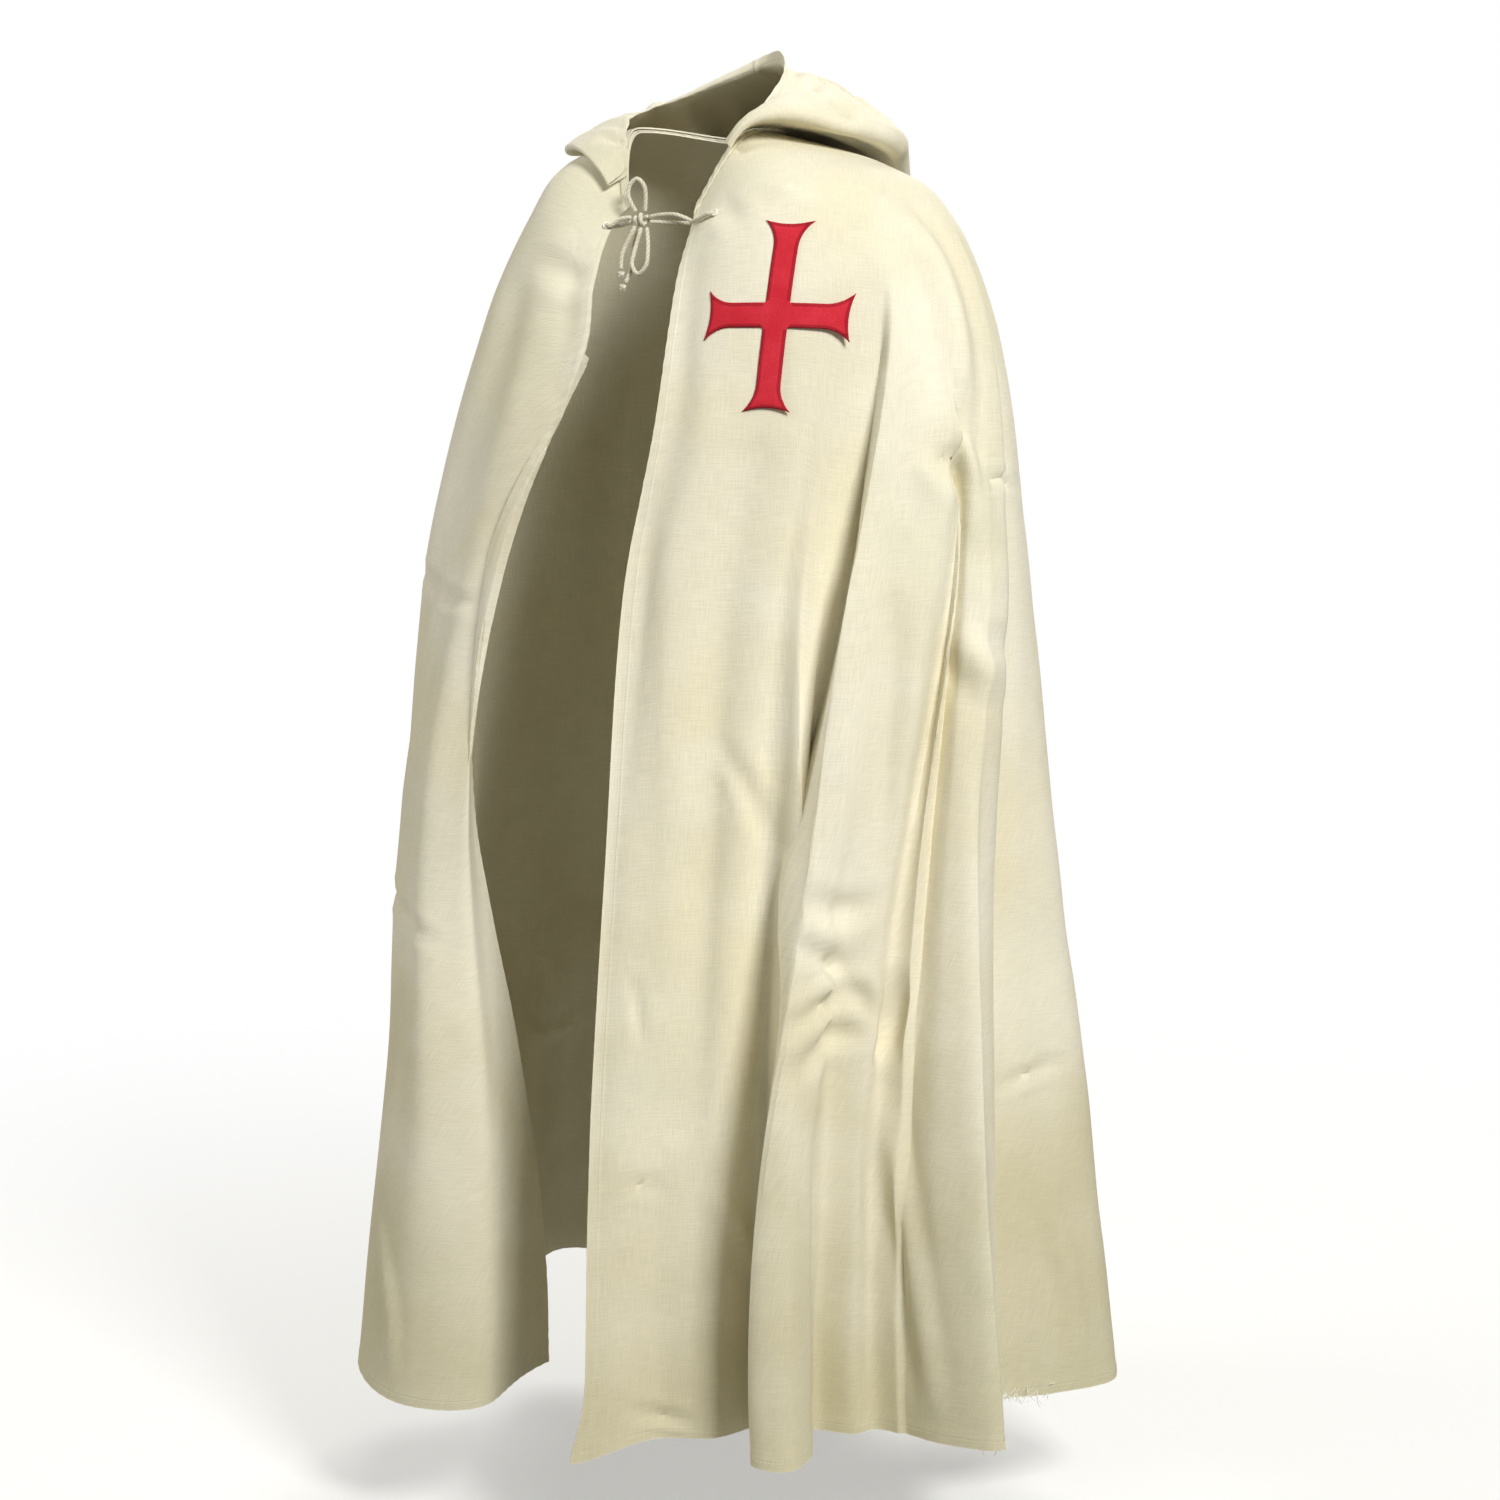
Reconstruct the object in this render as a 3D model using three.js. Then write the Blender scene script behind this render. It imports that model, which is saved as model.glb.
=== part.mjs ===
import * as THREE from "three";
import { mergeVertices } from "three/addons/utils/BufferGeometryUtils.js";

// A hooded cape as it hangs from the shoulders, in millimetres. The wearer faces -Y, the wearer's left is +X,
// and the origin is the middle of the neck opening, level with its sides. Plan angles are in degrees from the
// front: 90 is the wearer's left, 180 the back and 270 the right.

const clothThickness = 2;
const seamGap = 0.3;
const capeDrop = 1285;      // neck opening to hem
const bandThickness = 1.6;
const hoodThickness = 2;
const crossHeight = 192;
const crossWidth = 150;
const crossThickness = 1.2;
const cordDiameter = 4.5;

const canvas = { color: "#e6e0c8", roughness: 0.95, metalness: 0 };
const redWool = { color: "#c42430", roughness: 0.95, metalness: 0 };
const cottonCord = { color: "#ddd8c4", roughness: 0.9, metalness: 0 };

// Rings from the neck down. The reaches are from the neck's axis to each side. The side, front and back heights
// are below the origin. The edges are the plan angles of the two front edges, away from the front.
const rings = [
  { ring: "neck",      left: 68,  right: 76,  ahead: 96,  behind: 68,  side: 20,    front: -104,  back: 8,     leftEdge: 28, rightEdge: 27 },
  { ring: "collar",    left: 100, right: 100, ahead: 114, behind: 98,  side: 12,    front: -128,  back: 0,     leftEdge: 26, rightEdge: 27 },
  { ring: "shoulder",  left: 190, right: 160, ahead: 140, behind: 162, side: -12,   front: -166,  back: -34,   leftEdge: 24, rightEdge: 19 },
  { ring: "point",     left: 258, right: 199, ahead: 158, behind: 210, side: -54,   front: -216,  back: -96,   leftEdge: 22, rightEdge: 14 },
  { ring: "upper arm", left: 318, right: 264, ahead: 180, behind: 244, side: -170,  front: -290,  back: -215,  leftEdge: 19, rightEdge: 20 },
  { ring: "elbow",     left: 364, right: 342, ahead: 214, behind: 264, side: -420,  front: -440,  back: -430,  leftEdge: 12, rightEdge: 38 },
  { ring: "hand",      left: 392, right: 364, ahead: 268, behind: 284, side: -700,  front: -700,  back: -700,  leftEdge: 13, rightEdge: 43 },
  { ring: "knee",      left: 432, right: 366, ahead: 322, behind: 306, side: -980,  front: -980,  back: -980,  leftEdge: 14, rightEdge: 33 },
  { ring: "hem",       left: 466, right: 380, ahead: 372, behind: 326, side: -1285, front: -1285, back: -1285, leftEdge: 16, rightEdge: 30 },
];
const rowsPerRing = [2, 2, 3, 3, 3, 4, 4, 4];

// Lines down the cloth, from the left front edge round the back to the right front edge. Ridges stand on the
// ring and valleys lie inside it. Each has its plan angle at the shoulder and at the hem, its depth inside the
// ring at the hem, and the drop below the neck where it starts.
const foldLines = [
  { line: "left edge",     shoulder: 26,  hem: 16,  depth: 0,   start: 100 },
  { line: "edge turn",     shoulder: 32,  hem: 19,  depth: 18,  start: 500 },
  { line: "front panel",   shoulder: 42,  hem: 26,  depth: 66,  start: 380 },
  { line: "front slope",   shoulder: 58,  hem: 36,  depth: 82,  start: 330 },
  { line: "deep valley",   shoulder: 66,  hem: 46,  depth: 124, start: 300 },
  { line: "hand ridge",    shoulder: 75,  hem: 42,  depth: 18,  start: 200 },
  { line: "hand crest",    shoulder: 80,  hem: 46,  depth: -6,  start: 200 },
  { line: "hand side",     shoulder: 85,  hem: 51,  depth: 40,  start: 420 },
  { line: "hand valley",   shoulder: 88,  hem: 55,  depth: 118, start: 480 },
  { line: "elbow crest",   shoulder: 92,  hem: 61,  depth: 100, start: 420 },
  { line: "elbow dip",     shoulder: 95,  hem: 66,  depth: 106, start: 260 },
  { line: "elbow rise",    shoulder: 97,  hem: 70,  depth: 46,  start: 340 },
  { line: "side ridge",    shoulder: 98,  hem: 74,  depth: 4,   start: 220 },
  { line: "side edge",     shoulder: 100, hem: 77,  depth: 20,  start: 220 },
  { line: "side valley",   shoulder: 104, hem: 89,  depth: 104, start: 220 },
  { line: "side slope",    shoulder: 109, hem: 98,  depth: 58,  start: 240 },
  { line: "left blade",    shoulder: 117, hem: 108, depth: -6,  start: 300 },
  { line: "blade side",    shoulder: 126, hem: 119, depth: 14,  start: 340 },
  { line: "left trough",   shoulder: 139, hem: 132, depth: 84,  start: 330 },
  { line: "left fold",     shoulder: 151, hem: 147, depth: -4,  start: 380 },
  { line: "back trough",   shoulder: 166, hem: 164, depth: 76,  start: 420 },
  { line: "back middle",   shoulder: 180, hem: 180, depth: 2,   start: 420 },
  { line: "back furrow",   shoulder: 193, hem: 194, depth: 66,  start: 360 },
  { line: "right fold",    shoulder: 206, hem: 211, depth: -8,  start: 340 },
  { line: "right trough",  shoulder: 221, hem: 226, depth: 88,  start: 380 },
  { line: "right blade",   shoulder: 236, hem: 243, depth: -4,  start: 400 },
  { line: "arm trough",    shoulder: 252, hem: 260, depth: 62,  start: 420 },
  { line: "arm ridge",     shoulder: 268, hem: 277, depth: -4,  start: 420 },
  { line: "forearm dip",   shoulder: 285, hem: 298, depth: 16,  start: 520 },
  { line: "cone side",     shoulder: 304, hem: 322, depth: -14, start: 420 },
  { line: "cone crest",    shoulder: 320, hem: 341, depth: -10, start: 420 },
  { line: "cone turn",     shoulder: 328, hem: 349, depth: 60,  start: 480 },
  { line: "right edge",    shoulder: 333, hem: 331, depth: 182, start: 420 },
];
const columnsPerFold = 2;

const radians = THREE.MathUtils.degToRad;
const clamp = THREE.MathUtils.clamp;
const smooth = (value, low, high) => THREE.MathUtils.smoothstep(value, low, high);

// Catmull-Rom through values that stand at whole-number places.
function through(values, place) {
  const last = values.length - 1;
  const i = clamp(Math.floor(place), 0, last - 1);
  const t = place - i;
  const before = values[Math.max(i - 1, 0)];
  const after = values[Math.min(i + 2, last)];
  const slopeIn = (values[i + 1] - before) / 2;
  const slopeOut = (after - values[i]) / 2;
  const rise = values[i + 1] - values[i];
  return values[i] + t * (slopeIn + t * (3 * rise - 2 * slopeIn - slopeOut + t * (slopeIn + slopeOut - 2 * rise)));
}

const ringColumns = {};
for (const name of Object.keys(rings[0]).filter((key) => key !== "ring")) {
  ringColumns[name] = rings.map((row) => row[name]);
}

function ringAt(place) {
  const ring = {};
  for (const name of Object.keys(ringColumns)) {
    ring[name] = through(ringColumns[name], place);
  }
  return ring;
}

// The smooth form under the folds: a point at a plan angle on the ring at a place down the cape.
function formPoint(place, degrees, inset = 0) {
  const ring = ringAt(place);
  const sine = Math.sin(radians(degrees));
  const cosine = Math.cos(radians(degrees));
  const acrossReach = sine > 0 ? ring.left : ring.right;
  const alongReach = cosine > 0 ? ring.ahead : ring.behind;
  const reach = 1 / Math.hypot(sine / acrossReach, cosine / alongReach) - inset;
  const levelHeight = cosine > 0 ? ring.front : ring.back;
  const levelShare = Math.pow(Math.abs(cosine), cosine > 0 ? 4 : 2);
  const height = ring.side + (levelHeight - ring.side) * levelShare;
  return new THREE.Vector3(reach * sine, -reach * cosine, height);
}

// A point on the folded cape. The line is a place among the fold lines, the place a place among the rings.
const lineColumns = {};
for (const name of ["shoulder", "hem", "depth", "start"]) {
  lineColumns[name] = foldLines.map((row) => row[name]);
}

function capePoint(place, line) {
  const lastLine = foldLines.length - 1;
  const ring = ringAt(place);
  const drop = -(ring.side + ring.front + ring.back) / 3;
  const fall = 1 - Math.pow(1 - clamp(drop / capeDrop, 0, 1), 1.6);
  const shoulderAngle = through(lineColumns.shoulder, line);
  const hemAngle = through(lineColumns.hem, line);
  const freeAngle = shoulderAngle + (hemAngle - shoulderAngle) * fall;
  const leftAngle = lineColumns.shoulder[0] + (lineColumns.hem[0] - lineColumns.shoulder[0]) * fall;
  const rightShoulder = lineColumns.shoulder[lastLine];
  const rightAngle = rightShoulder + (lineColumns.hem[lastLine] - rightShoulder) * fall;
  const leftShare = 1 - smooth(freeAngle, leftAngle, 110);
  const rightShare = smooth(freeAngle, 225, rightAngle);
  const leftPull = (ring.leftEdge - leftAngle) * leftShare;
  const rightPull = (360 - ring.rightEdge - rightAngle) * rightShare;
  const start = through(lineColumns.start, line);
  const opened = smooth(drop, start, start + 900) * 0.55 + clamp((drop - start) / (capeDrop - start), 0, 1) * 0.45;
  const inset = through(lineColumns.depth, line) * opened;
  return formPoint(place, freeAngle + leftPull + rightPull, inset);
}

function normalAt(point, a, b) {
  const step = 0.01;
  const alongA = point(a + step, b).sub(point(a - step, b));
  const alongB = point(a, b + step).sub(point(a, b - step));
  return alongA.cross(alongB).normalize();
}

// A point off the cape along its normal by a lift.
const onCape = (place, line, lift) => capePoint(place, line).addScaledVector(normalAt(capePoint, place, line), lift);

// A closed wall between two sheets of points. The first sheet faces the cross product of its columns and rows.
function wall(outerRows, innerRows) {
  const rowCount = outerRows.length;
  const columnCount = outerRows[0].length;
  const positions = [];
  for (const rows of [outerRows, innerRows]) {
    for (const row of rows) {
      for (const point of row) {
        positions.push(point.x, point.y, point.z);
      }
    }
  }
  const half = rowCount * columnCount;
  const outer = (row, column) => row * columnCount + column;
  const inner = (row, column) => half + row * columnCount + column;
  const faces = [];
  const quad = (a, b, c, d) => faces.push(a, b, c, a, c, d);
  for (let row = 0; row < rowCount - 1; row += 1) {
    for (let column = 0; column < columnCount - 1; column += 1) {
      quad(outer(row, column), outer(row + 1, column), outer(row + 1, column + 1), outer(row, column + 1));
      quad(inner(row, column), inner(row, column + 1), inner(row + 1, column + 1), inner(row + 1, column));
    }
    const end = columnCount - 1;
    quad(outer(row, 0), inner(row, 0), inner(row + 1, 0), outer(row + 1, 0));
    quad(outer(row, end), outer(row + 1, end), inner(row + 1, end), inner(row, end));
  }
  for (let column = 0; column < columnCount - 1; column += 1) {
    const end = rowCount - 1;
    quad(outer(0, column), outer(0, column + 1), inner(0, column + 1), inner(0, column));
    quad(outer(end, column), inner(end, column), inner(end, column + 1), outer(end, column + 1));
  }
  const geometry = new THREE.BufferGeometry();
  geometry.setAttribute("position", new THREE.Float32BufferAttribute(positions, 3));
  geometry.setIndex(faces);
  return geometry;
}

const cape = new THREE.Group();

function addPiece(name, geometry, finish) {
  geometry.computeVertexNormals();
  const mesh = new THREE.Mesh(geometry, new THREE.MeshStandardMaterial(finish));
  mesh.name = name;
  cape.add(mesh);
  return mesh;
}

// Places down the cape, a few rows to each pair of rings.
const places = [0];
rowsPerRing.forEach((count, ring) => {
  for (let step = 1; step <= count; step += 1) {
    places.push(ring + step / count);
  }
});

// The body is cut in two halves that meet at the centre back.
const backLine = foldLines.findIndex((row) => row.line === "back middle");

function bodyHalf(name, firstLine, lastLine) {
  const outerRows = [];
  const innerRows = [];
  const columns = (lastLine - firstLine) * columnsPerFold;
  for (const place of places) {
    const outerRow = [];
    const innerRow = [];
    for (let column = 0; column <= columns; column += 1) {
      const line = firstLine + column / columnsPerFold;
      const point = capePoint(place, line);
      const normal = normalAt(capePoint, place, line);
      if (line === backLine) {
        const side = firstLine === backLine ? 1 : -1;
        const along = capePoint(place, line + 0.02).sub(capePoint(place, line - 0.02)).normalize();
        point.addScaledVector(along, side * seamGap / 2);
      }
      outerRow.push(point);
      innerRow.push(point.clone().addScaledVector(normal, -clothThickness));
    }
    outerRows.push(outerRow);
    innerRows.push(innerRow);
  }
  addPiece(name, wall(outerRows, innerRows), canvas);
}

bodyHalf("body_left", 0, backLine);
bodyHalf("body_right", backLine, foldLines.length - 1);

// The turned neck edge lies on the body all round the neck.
const bandRows = [0, 0.18, 0.36, 0.55];    // places down the cape
const lastLine = foldLines.length - 1;

function neckBand() {
  const lines = [];
  for (let column = 0; column <= lastLine * columnsPerFold; column += 1) {
    lines.push(column / columnsPerFold);
  }
  const outerRows = bandRows.map((place) => lines.map((line) => onCape(place, line, seamGap + bandThickness)));
  const innerRows = bandRows.map((place) => lines.map((line) => onCape(place, line, seamGap)));
  addPiece("neck_band", wall(outerRows, innerRows), canvas);
}

neckBand();

// The hood lies back on the shoulders as a flat pouch. Each section starts at the neck seam, follows the body out
// to the tip, turns over by the roll and comes back to the free edge round the neck. Tip is a place on the rings,
// lift its height over the body, puff the pouch's own height, and the edge's reach and height are from the origin.
const hoodSections = [
  { angle: 52,  tip: 0.85, lift: 5,  roll: 6,  puff: 1,  edgeReach: 80, edgeHeight: 8 },
  { angle: 62,  tip: 1.05, lift: 17, roll: 8,  puff: 3,  edgeReach: 78, edgeHeight: 28 },
  { angle: 74,  tip: 1.36, lift: 20, roll: 12, puff: 9,  edgeReach: 78, edgeHeight: 38 },
  { angle: 88,  tip: 1.62, lift: 15, roll: 17, puff: 15, edgeReach: 79, edgeHeight: 54 },
  { angle: 103, tip: 1.82, lift: 12, roll: 22, puff: 21, edgeReach: 80, edgeHeight: 74 },
  { angle: 118, tip: 1.95, lift: 11, roll: 25, puff: 25, edgeReach: 79, edgeHeight: 88 },
  { angle: 134, tip: 2.12, lift: 14, roll: 27, puff: 30, edgeReach: 77, edgeHeight: 98 },
  { angle: 150, tip: 2.6,  lift: 19, roll: 27, puff: 36, edgeReach: 78, edgeHeight: 103 },
  { angle: 166, tip: 3.5,  lift: 28, roll: 25, puff: 42, edgeReach: 82, edgeHeight: 101 },
  { angle: 180, tip: 3.95, lift: 24, roll: 28, puff: 48, edgeReach: 84, edgeHeight: 95 },
  { angle: 195, tip: 3.75, lift: 24, roll: 26, puff: 44, edgeReach: 83, edgeHeight: 86 },
  { angle: 212, tip: 3.35, lift: 24, roll: 24, puff: 34, edgeReach: 80, edgeHeight: 75 },
  { angle: 229, tip: 2.75, lift: 20, roll: 18, puff: 24, edgeReach: 78, edgeHeight: 63 },
  { angle: 246, tip: 2.3,  lift: 13, roll: 13, puff: 17, edgeReach: 78, edgeHeight: 53 },
  { angle: 263, tip: 2.0,  lift: 8,  roll: 10, puff: 12, edgeReach: 80, edgeHeight: 45 },
  { angle: 280, tip: 1.95, lift: 5,  roll: 8,  puff: 9,  edgeReach: 82, edgeHeight: 38 },
  { angle: 297, tip: 1.6,  lift: 4,  roll: 7,  puff: 6,  edgeReach: 84, edgeHeight: 30 },
  { angle: 311, tip: 1.25, lift: 3,  roll: 6,  puff: 4,  edgeReach: 86, edgeHeight: 16 },
  { angle: 322, tip: 0.92, lift: 3,  roll: 5,  puff: 1,  edgeReach: 88, edgeHeight: -14 },
];
const hoodSeat = seamGap * 2 + bandThickness + hoodThickness / 2 + 1;
const hoodUnder = 0.42;     // share of a section that lies under, then over
const hoodOver = 0.54;
const hoodSteps = 17;
const columnsPerSection = 2;
const middleSection = hoodSections.findIndex((row) => row.angle === 180);
const hoodColumns = {};
for (const name of Object.keys(hoodSections[0])) {
  hoodColumns[name] = hoodSections.map((row) => row[name]);
}

const rise = (out) => Math.pow(Math.max(out, 0), 1.5);

function hoodPoint(share, section) {
  const row = {};
  for (const name of Object.keys(hoodColumns)) {
    row[name] = through(hoodColumns[name], section);
  }
  const onForm = (place, height) => {
    const spot = (p, degrees) => formPoint(p, degrees);
    return formPoint(place, row.angle).addScaledVector(normalAt(spot, place, row.angle), height);
  };
  if (share <= hoodUnder) {
    const out = share / hoodUnder;
    return onForm(0.12 + (row.tip - 0.12) * out, hoodSeat + row.lift * rise(out));
  }
  const tipHeight = hoodSeat + row.lift;
  if (share < hoodOver) {
    const turn = Math.PI * (share - hoodUnder) / (hoodOver - hoodUnder);
    const beyond = onForm(row.tip + 0.05, tipHeight).sub(onForm(row.tip, tipHeight)).normalize();
    const middle = onForm(row.tip, tipHeight + row.roll / 2 - (row.roll / 2) * Math.cos(turn));
    return middle.addScaledVector(beyond, (row.roll / 2) * Math.sin(turn));
  }
  const back = (share - hoodOver) / (1 - hoodOver);
  const out = 1 - back;
  const height = hoodSeat + row.lift * rise(out) + row.roll;
  const over = onForm(0.12 + (row.tip - 0.12) * out, height + row.puff * Math.sin(Math.PI * out));
  const turnedAngle = radians(row.angle);
  const edge = new THREE.Vector3(row.edgeReach * Math.sin(turnedAngle), -row.edgeReach * Math.cos(turnedAngle), row.edgeHeight);
  return over.lerp(edge, Math.pow(back, 2.4));
}

function hoodHalf(name, firstSection, lastSection) {
  const outerRows = [];
  const innerRows = [];
  const columns = (lastSection - firstSection) * columnsPerSection;
  for (let step = 0; step <= hoodSteps; step += 1) {
    const share = step / hoodSteps;
    const outerRow = [];
    const innerRow = [];
    for (let column = 0; column <= columns; column += 1) {
      const section = firstSection + column / columnsPerSection;
      const point = hoodPoint(share, section);
      const normal = normalAt(hoodPoint, share, section);
      if (section === middleSection) {
        point.x += (firstSection === middleSection ? -1 : 1) * seamGap / 2;
      }
      outerRow.push(point.clone().addScaledVector(normal, hoodThickness / 2));
      innerRow.push(point.addScaledVector(normal, -hoodThickness / 2));
    }
    outerRows.push(outerRow);
    innerRows.push(innerRow);
  }
  addPiece(name, wall(outerRows, innerRows), canvas);
}

hoodHalf("hood_left", 0, middleSection);
hoodHalf("hood_right", middleSection, hoodSections.length - 1);

// The place and line where the cape meets a line in space: Newton's method in short steps from a start near it.
function landing(target, facing, start) {
  const step = 0.01;
  let [place, line] = start;
  for (let round = 0; round < 24; round += 1) {
    const point = capePoint(place, line);
    const p = capePoint(place + step, line).sub(point).divideScalar(step);
    const l = capePoint(place, line + step).sub(point).divideScalar(step);
    const slopes = new THREE.Matrix3();
    slopes.set(p.x, l.x, -facing.x, p.y, l.y, -facing.y, p.z, l.z, -facing.z);
    const move = target.clone().sub(point).applyMatrix3(slopes.invert());
    place += clamp(move.x, -0.25, 0.25);
    line += clamp(move.y, -0.25, 0.25);
  }
  return [place, line];
}

// The applique cross is drawn flat and laid on the left breast. Its arms flare to wide ends with a shallow hollow.
const crossMiddle = new THREE.Vector3(184, -144, -163);
const crossAcross = new THREE.Vector3(0.953, 0.304, 0).normalize();
const crossUp = new THREE.Vector3(0, 0.215, 0.976).normalize();
const crossStart = { place: 3.6, line: 2.7, placeRise: -0.009, lineRise: 0.013 };    // rises for each millimetre
const armHalf = 12.5;       // half the width of an arm
const endHalf = 25;         // half the width of its end
const flareLength = 29;
const endHollow = 4;
const armShares = [-1, -0.5, 0, 0.5, 1];
const uprightTicks = [12.5, 26, 42, 56, 66, 74, 81, 87, 92, crossHeight / 2];
const armTicks = [12.5, 24, 36, 46, 54, 61, 67, 71, crossWidth / 2];

const halfWidth = (fromEnd) => armHalf + (endHalf - armHalf) * Math.pow(1 - clamp(fromEnd / flareLength, 0, 1), 1.7);

// Points of one arm in its own frame, out along the arm and across it.
function armRows(ticks) {
  const end = ticks[ticks.length - 1];
  return ticks.map((out) => armShares.map((share) => {
    const hollow = out === end ? endHollow * (1 - share * share) : 0;
    return [out - hollow, halfWidth(end - out) * share];
  }));
}

function crossOutline() {
  const cells = [];
  const turns = [[1, 0], [0, 1], [-1, 0], [0, -1]];
  for (const [c, s] of turns) {
    const rows = armRows(s === 0 ? armTicks : uprightTicks);
    const placed = rows.map((row) => row.map(([out, side]) => [out * c - side * s, out * s + side * c]));
    for (let i = 0; i < placed.length - 1; i += 1) {
      for (let j = 0; j < armShares.length - 1; j += 1) {
        cells.push([placed[i][j], placed[i + 1][j], placed[i + 1][j + 1], placed[i][j + 1]]);
      }
    }
  }
  const middle = armShares.map((y) => armShares.map((x) => [x * armHalf, y * armHalf]));
  for (let i = 0; i < armShares.length - 1; i += 1) {
    for (let j = 0; j < armShares.length - 1; j += 1) {
      cells.push([middle[i][j], middle[i][j + 1], middle[i + 1][j + 1], middle[i + 1][j]]);
    }
  }
  return cells;
}

// A closed plate of flat cells, each corner laid on the cape at two lifts.
function plate(cells, bottom, top, pointAt) {
  const positions = [];
  const faces = [];
  const corners = new Map();
  const sides = new Map();
  const key = ([x, y]) => `${x.toFixed(3)},${y.toFixed(3)}`;
  const corner = (spot) => {
    if (!corners.has(key(spot))) {
      corners.set(key(spot), positions.length / 3);
      positions.push(...pointAt(spot, bottom).toArray(), ...pointAt(spot, top).toArray());
    }
    return corners.get(key(spot));
  };
  for (const cell of cells) {
    const ids = cell.map(corner);
    const [a, b, c, d] = ids;
    faces.push(a + 1, b + 1, c + 1, a + 1, c + 1, d + 1);
    faces.push(a, c, b, a, d, c);
    ids.forEach((id, i) => sides.set(`${id},${ids[(i + 1) % 4]}`, [id, ids[(i + 1) % 4]]));
  }
  for (const [from, to] of sides.values()) {
    if (!sides.has(`${to},${from}`)) {
      faces.push(from, to, to + 1, from, to + 1, from + 1);
    }
  }
  const geometry = new THREE.BufferGeometry();
  geometry.setAttribute("position", new THREE.Float32BufferAttribute(positions, 3));
  geometry.setIndex(faces);
  return geometry;
}

const crossFacing = crossAcross.clone().cross(crossUp);

function crossSpot([x, y], lift) {
  const target = crossMiddle.clone().addScaledVector(crossAcross, x).addScaledVector(crossUp, y);
  const start = [crossStart.place + crossStart.placeRise * y, crossStart.line + crossStart.lineRise * x];
  const [place, line] = landing(target, crossFacing, start);
  return onCape(place, line, lift);
}

addPiece("cross", plate(crossOutline(), seamGap, seamGap + crossThickness, crossSpot), redWool);

// The tie: a cord from an eyelet in each front panel to a bow knot between them, one loop up, one loop down and two
// tails, each tail with a small knot at its end. Every strand stops short of the knot by a seam gap.
const bowKnot = new THREE.Vector3(-17, -96, -71);
const bowKnotSize = [11, 6, 7.5];
const cordLift = cordDiameter / 2 + seamGap + 0.5;
const insideLift = -(clothThickness + cordLift);
const at = (x, y, z) => new THREE.Vector3(x, y, z);
const tieStrands = {
  tie_left_front: [onCape(1.75, 1.75, cordLift), onCape(1.45, 1.2, cordLift), onCape(1.1, 0.55, cordLift + 0.3),
    onCape(0.82, 0.05, cordLift + 1), at(30, -99, -66), at(12, -98, -66), at(-5.4, -96, -68.2)],
  tie_left_back: [onCape(1.0, 0.6, insideLift - 0.5), onCape(0.85, 0.1, insideLift - 2.5), at(38, -87, -75),
    at(20, -93, -74), at(6, -96, -73.4), at(-5.4, -96, -73.5)],
  tie_right_front: [onCape(1.2, 31.3, cordLift), onCape(1.1, 31.8, cordLift + 0.2), at(-41, -101, -71),
    at(-28.6, -97, -68.6)],
  tie_right_back: [onCape(1.1, 31.5, insideLift), at(-47, -92, -77), at(-38, -94, -75), at(-28.6, -96, -73.6)],
  tie_loop_upper: [at(-22.4, -97, -63.4), at(-27, -99, -55), at(-30.3, -100, -45), at(-28.6, -99, -35.8),
    at(-21, -97, -29.8), at(-13.4, -96, -35.8), at(-11.3, -95.5, -45), at(-11.5, -95.5, -54), at(-12, -96, -63.3)],
  tie_loop_lower: [at(-15.5, -98, -79.2), at(-16.8, -103, -93), at(-18, -107.5, -106), at(-17.6, -110.8, -117),
    at(-9.2, -112, -125.8), at(-0.8, -109.4, -117), at(-1.8, -105, -104), at(-5, -100.5, -91.5), at(-9.5, -96, -79)],
  tie_tail_upper: [at(-22.6, -98.5, -77.5), at(-27.5, -104, -92), at(-32, -109, -107), at(-31.5, -111.5, -121.8)],
  tie_tail_lower: [at(-21, -93, -78.6), at(-22.8, -98, -92), at(-22.5, -104, -108), at(-22.3, -108, -124),
    at(-24, -110.4, -130.6), at(-25.75, -112.35, -135.4)],
};
const endKnots = {
  end_knot_upper: { middle: [-31, -112, -127], size: [4.4, 4.2, 4.8] },
  end_knot_lower: { middle: [-27.5, -114, -140], size: [4.4, 4.2, 4.8] },
};

function addCord(name, points) {
  const curve = new THREE.CatmullRomCurve3(points, false, "centripetal");
  const section = new THREE.Shape();
  section.absarc(0, 0, cordDiameter / 2, 0, 2 * Math.PI, false);
  const steps = Math.max(4, Math.round(curve.getLength() / (cordDiameter * 1.4)));
  const tube = new THREE.ExtrudeGeometry(section, { steps, curveSegments: 4, bevelEnabled: false, extrudePath: curve });
  tube.deleteAttribute("normal");
  tube.deleteAttribute("uv");
  addPiece(name, mergeVertices(tube, 0.001), cottonCord);
}

function addKnot(name, middle, size) {
  const lump = new THREE.SphereGeometry(1, 12, 9);
  lump.scale(...size);
  lump.translate(...middle);
  lump.deleteAttribute("normal");
  lump.deleteAttribute("uv");
  addPiece(name, mergeVertices(lump, 0.001), cottonCord);
}

for (const [name, points] of Object.entries(tieStrands)) {
  addCord(name, points);
}
addKnot("tie_knot", bowKnot.toArray(), bowKnotSize);
for (const [name, knot] of Object.entries(endKnots)) {
  addKnot(name, knot.middle, knot.size);
}

export default cape;
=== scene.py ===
import math
from functools import partial

import bpy
import numpy as np
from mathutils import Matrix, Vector, noise


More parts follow.
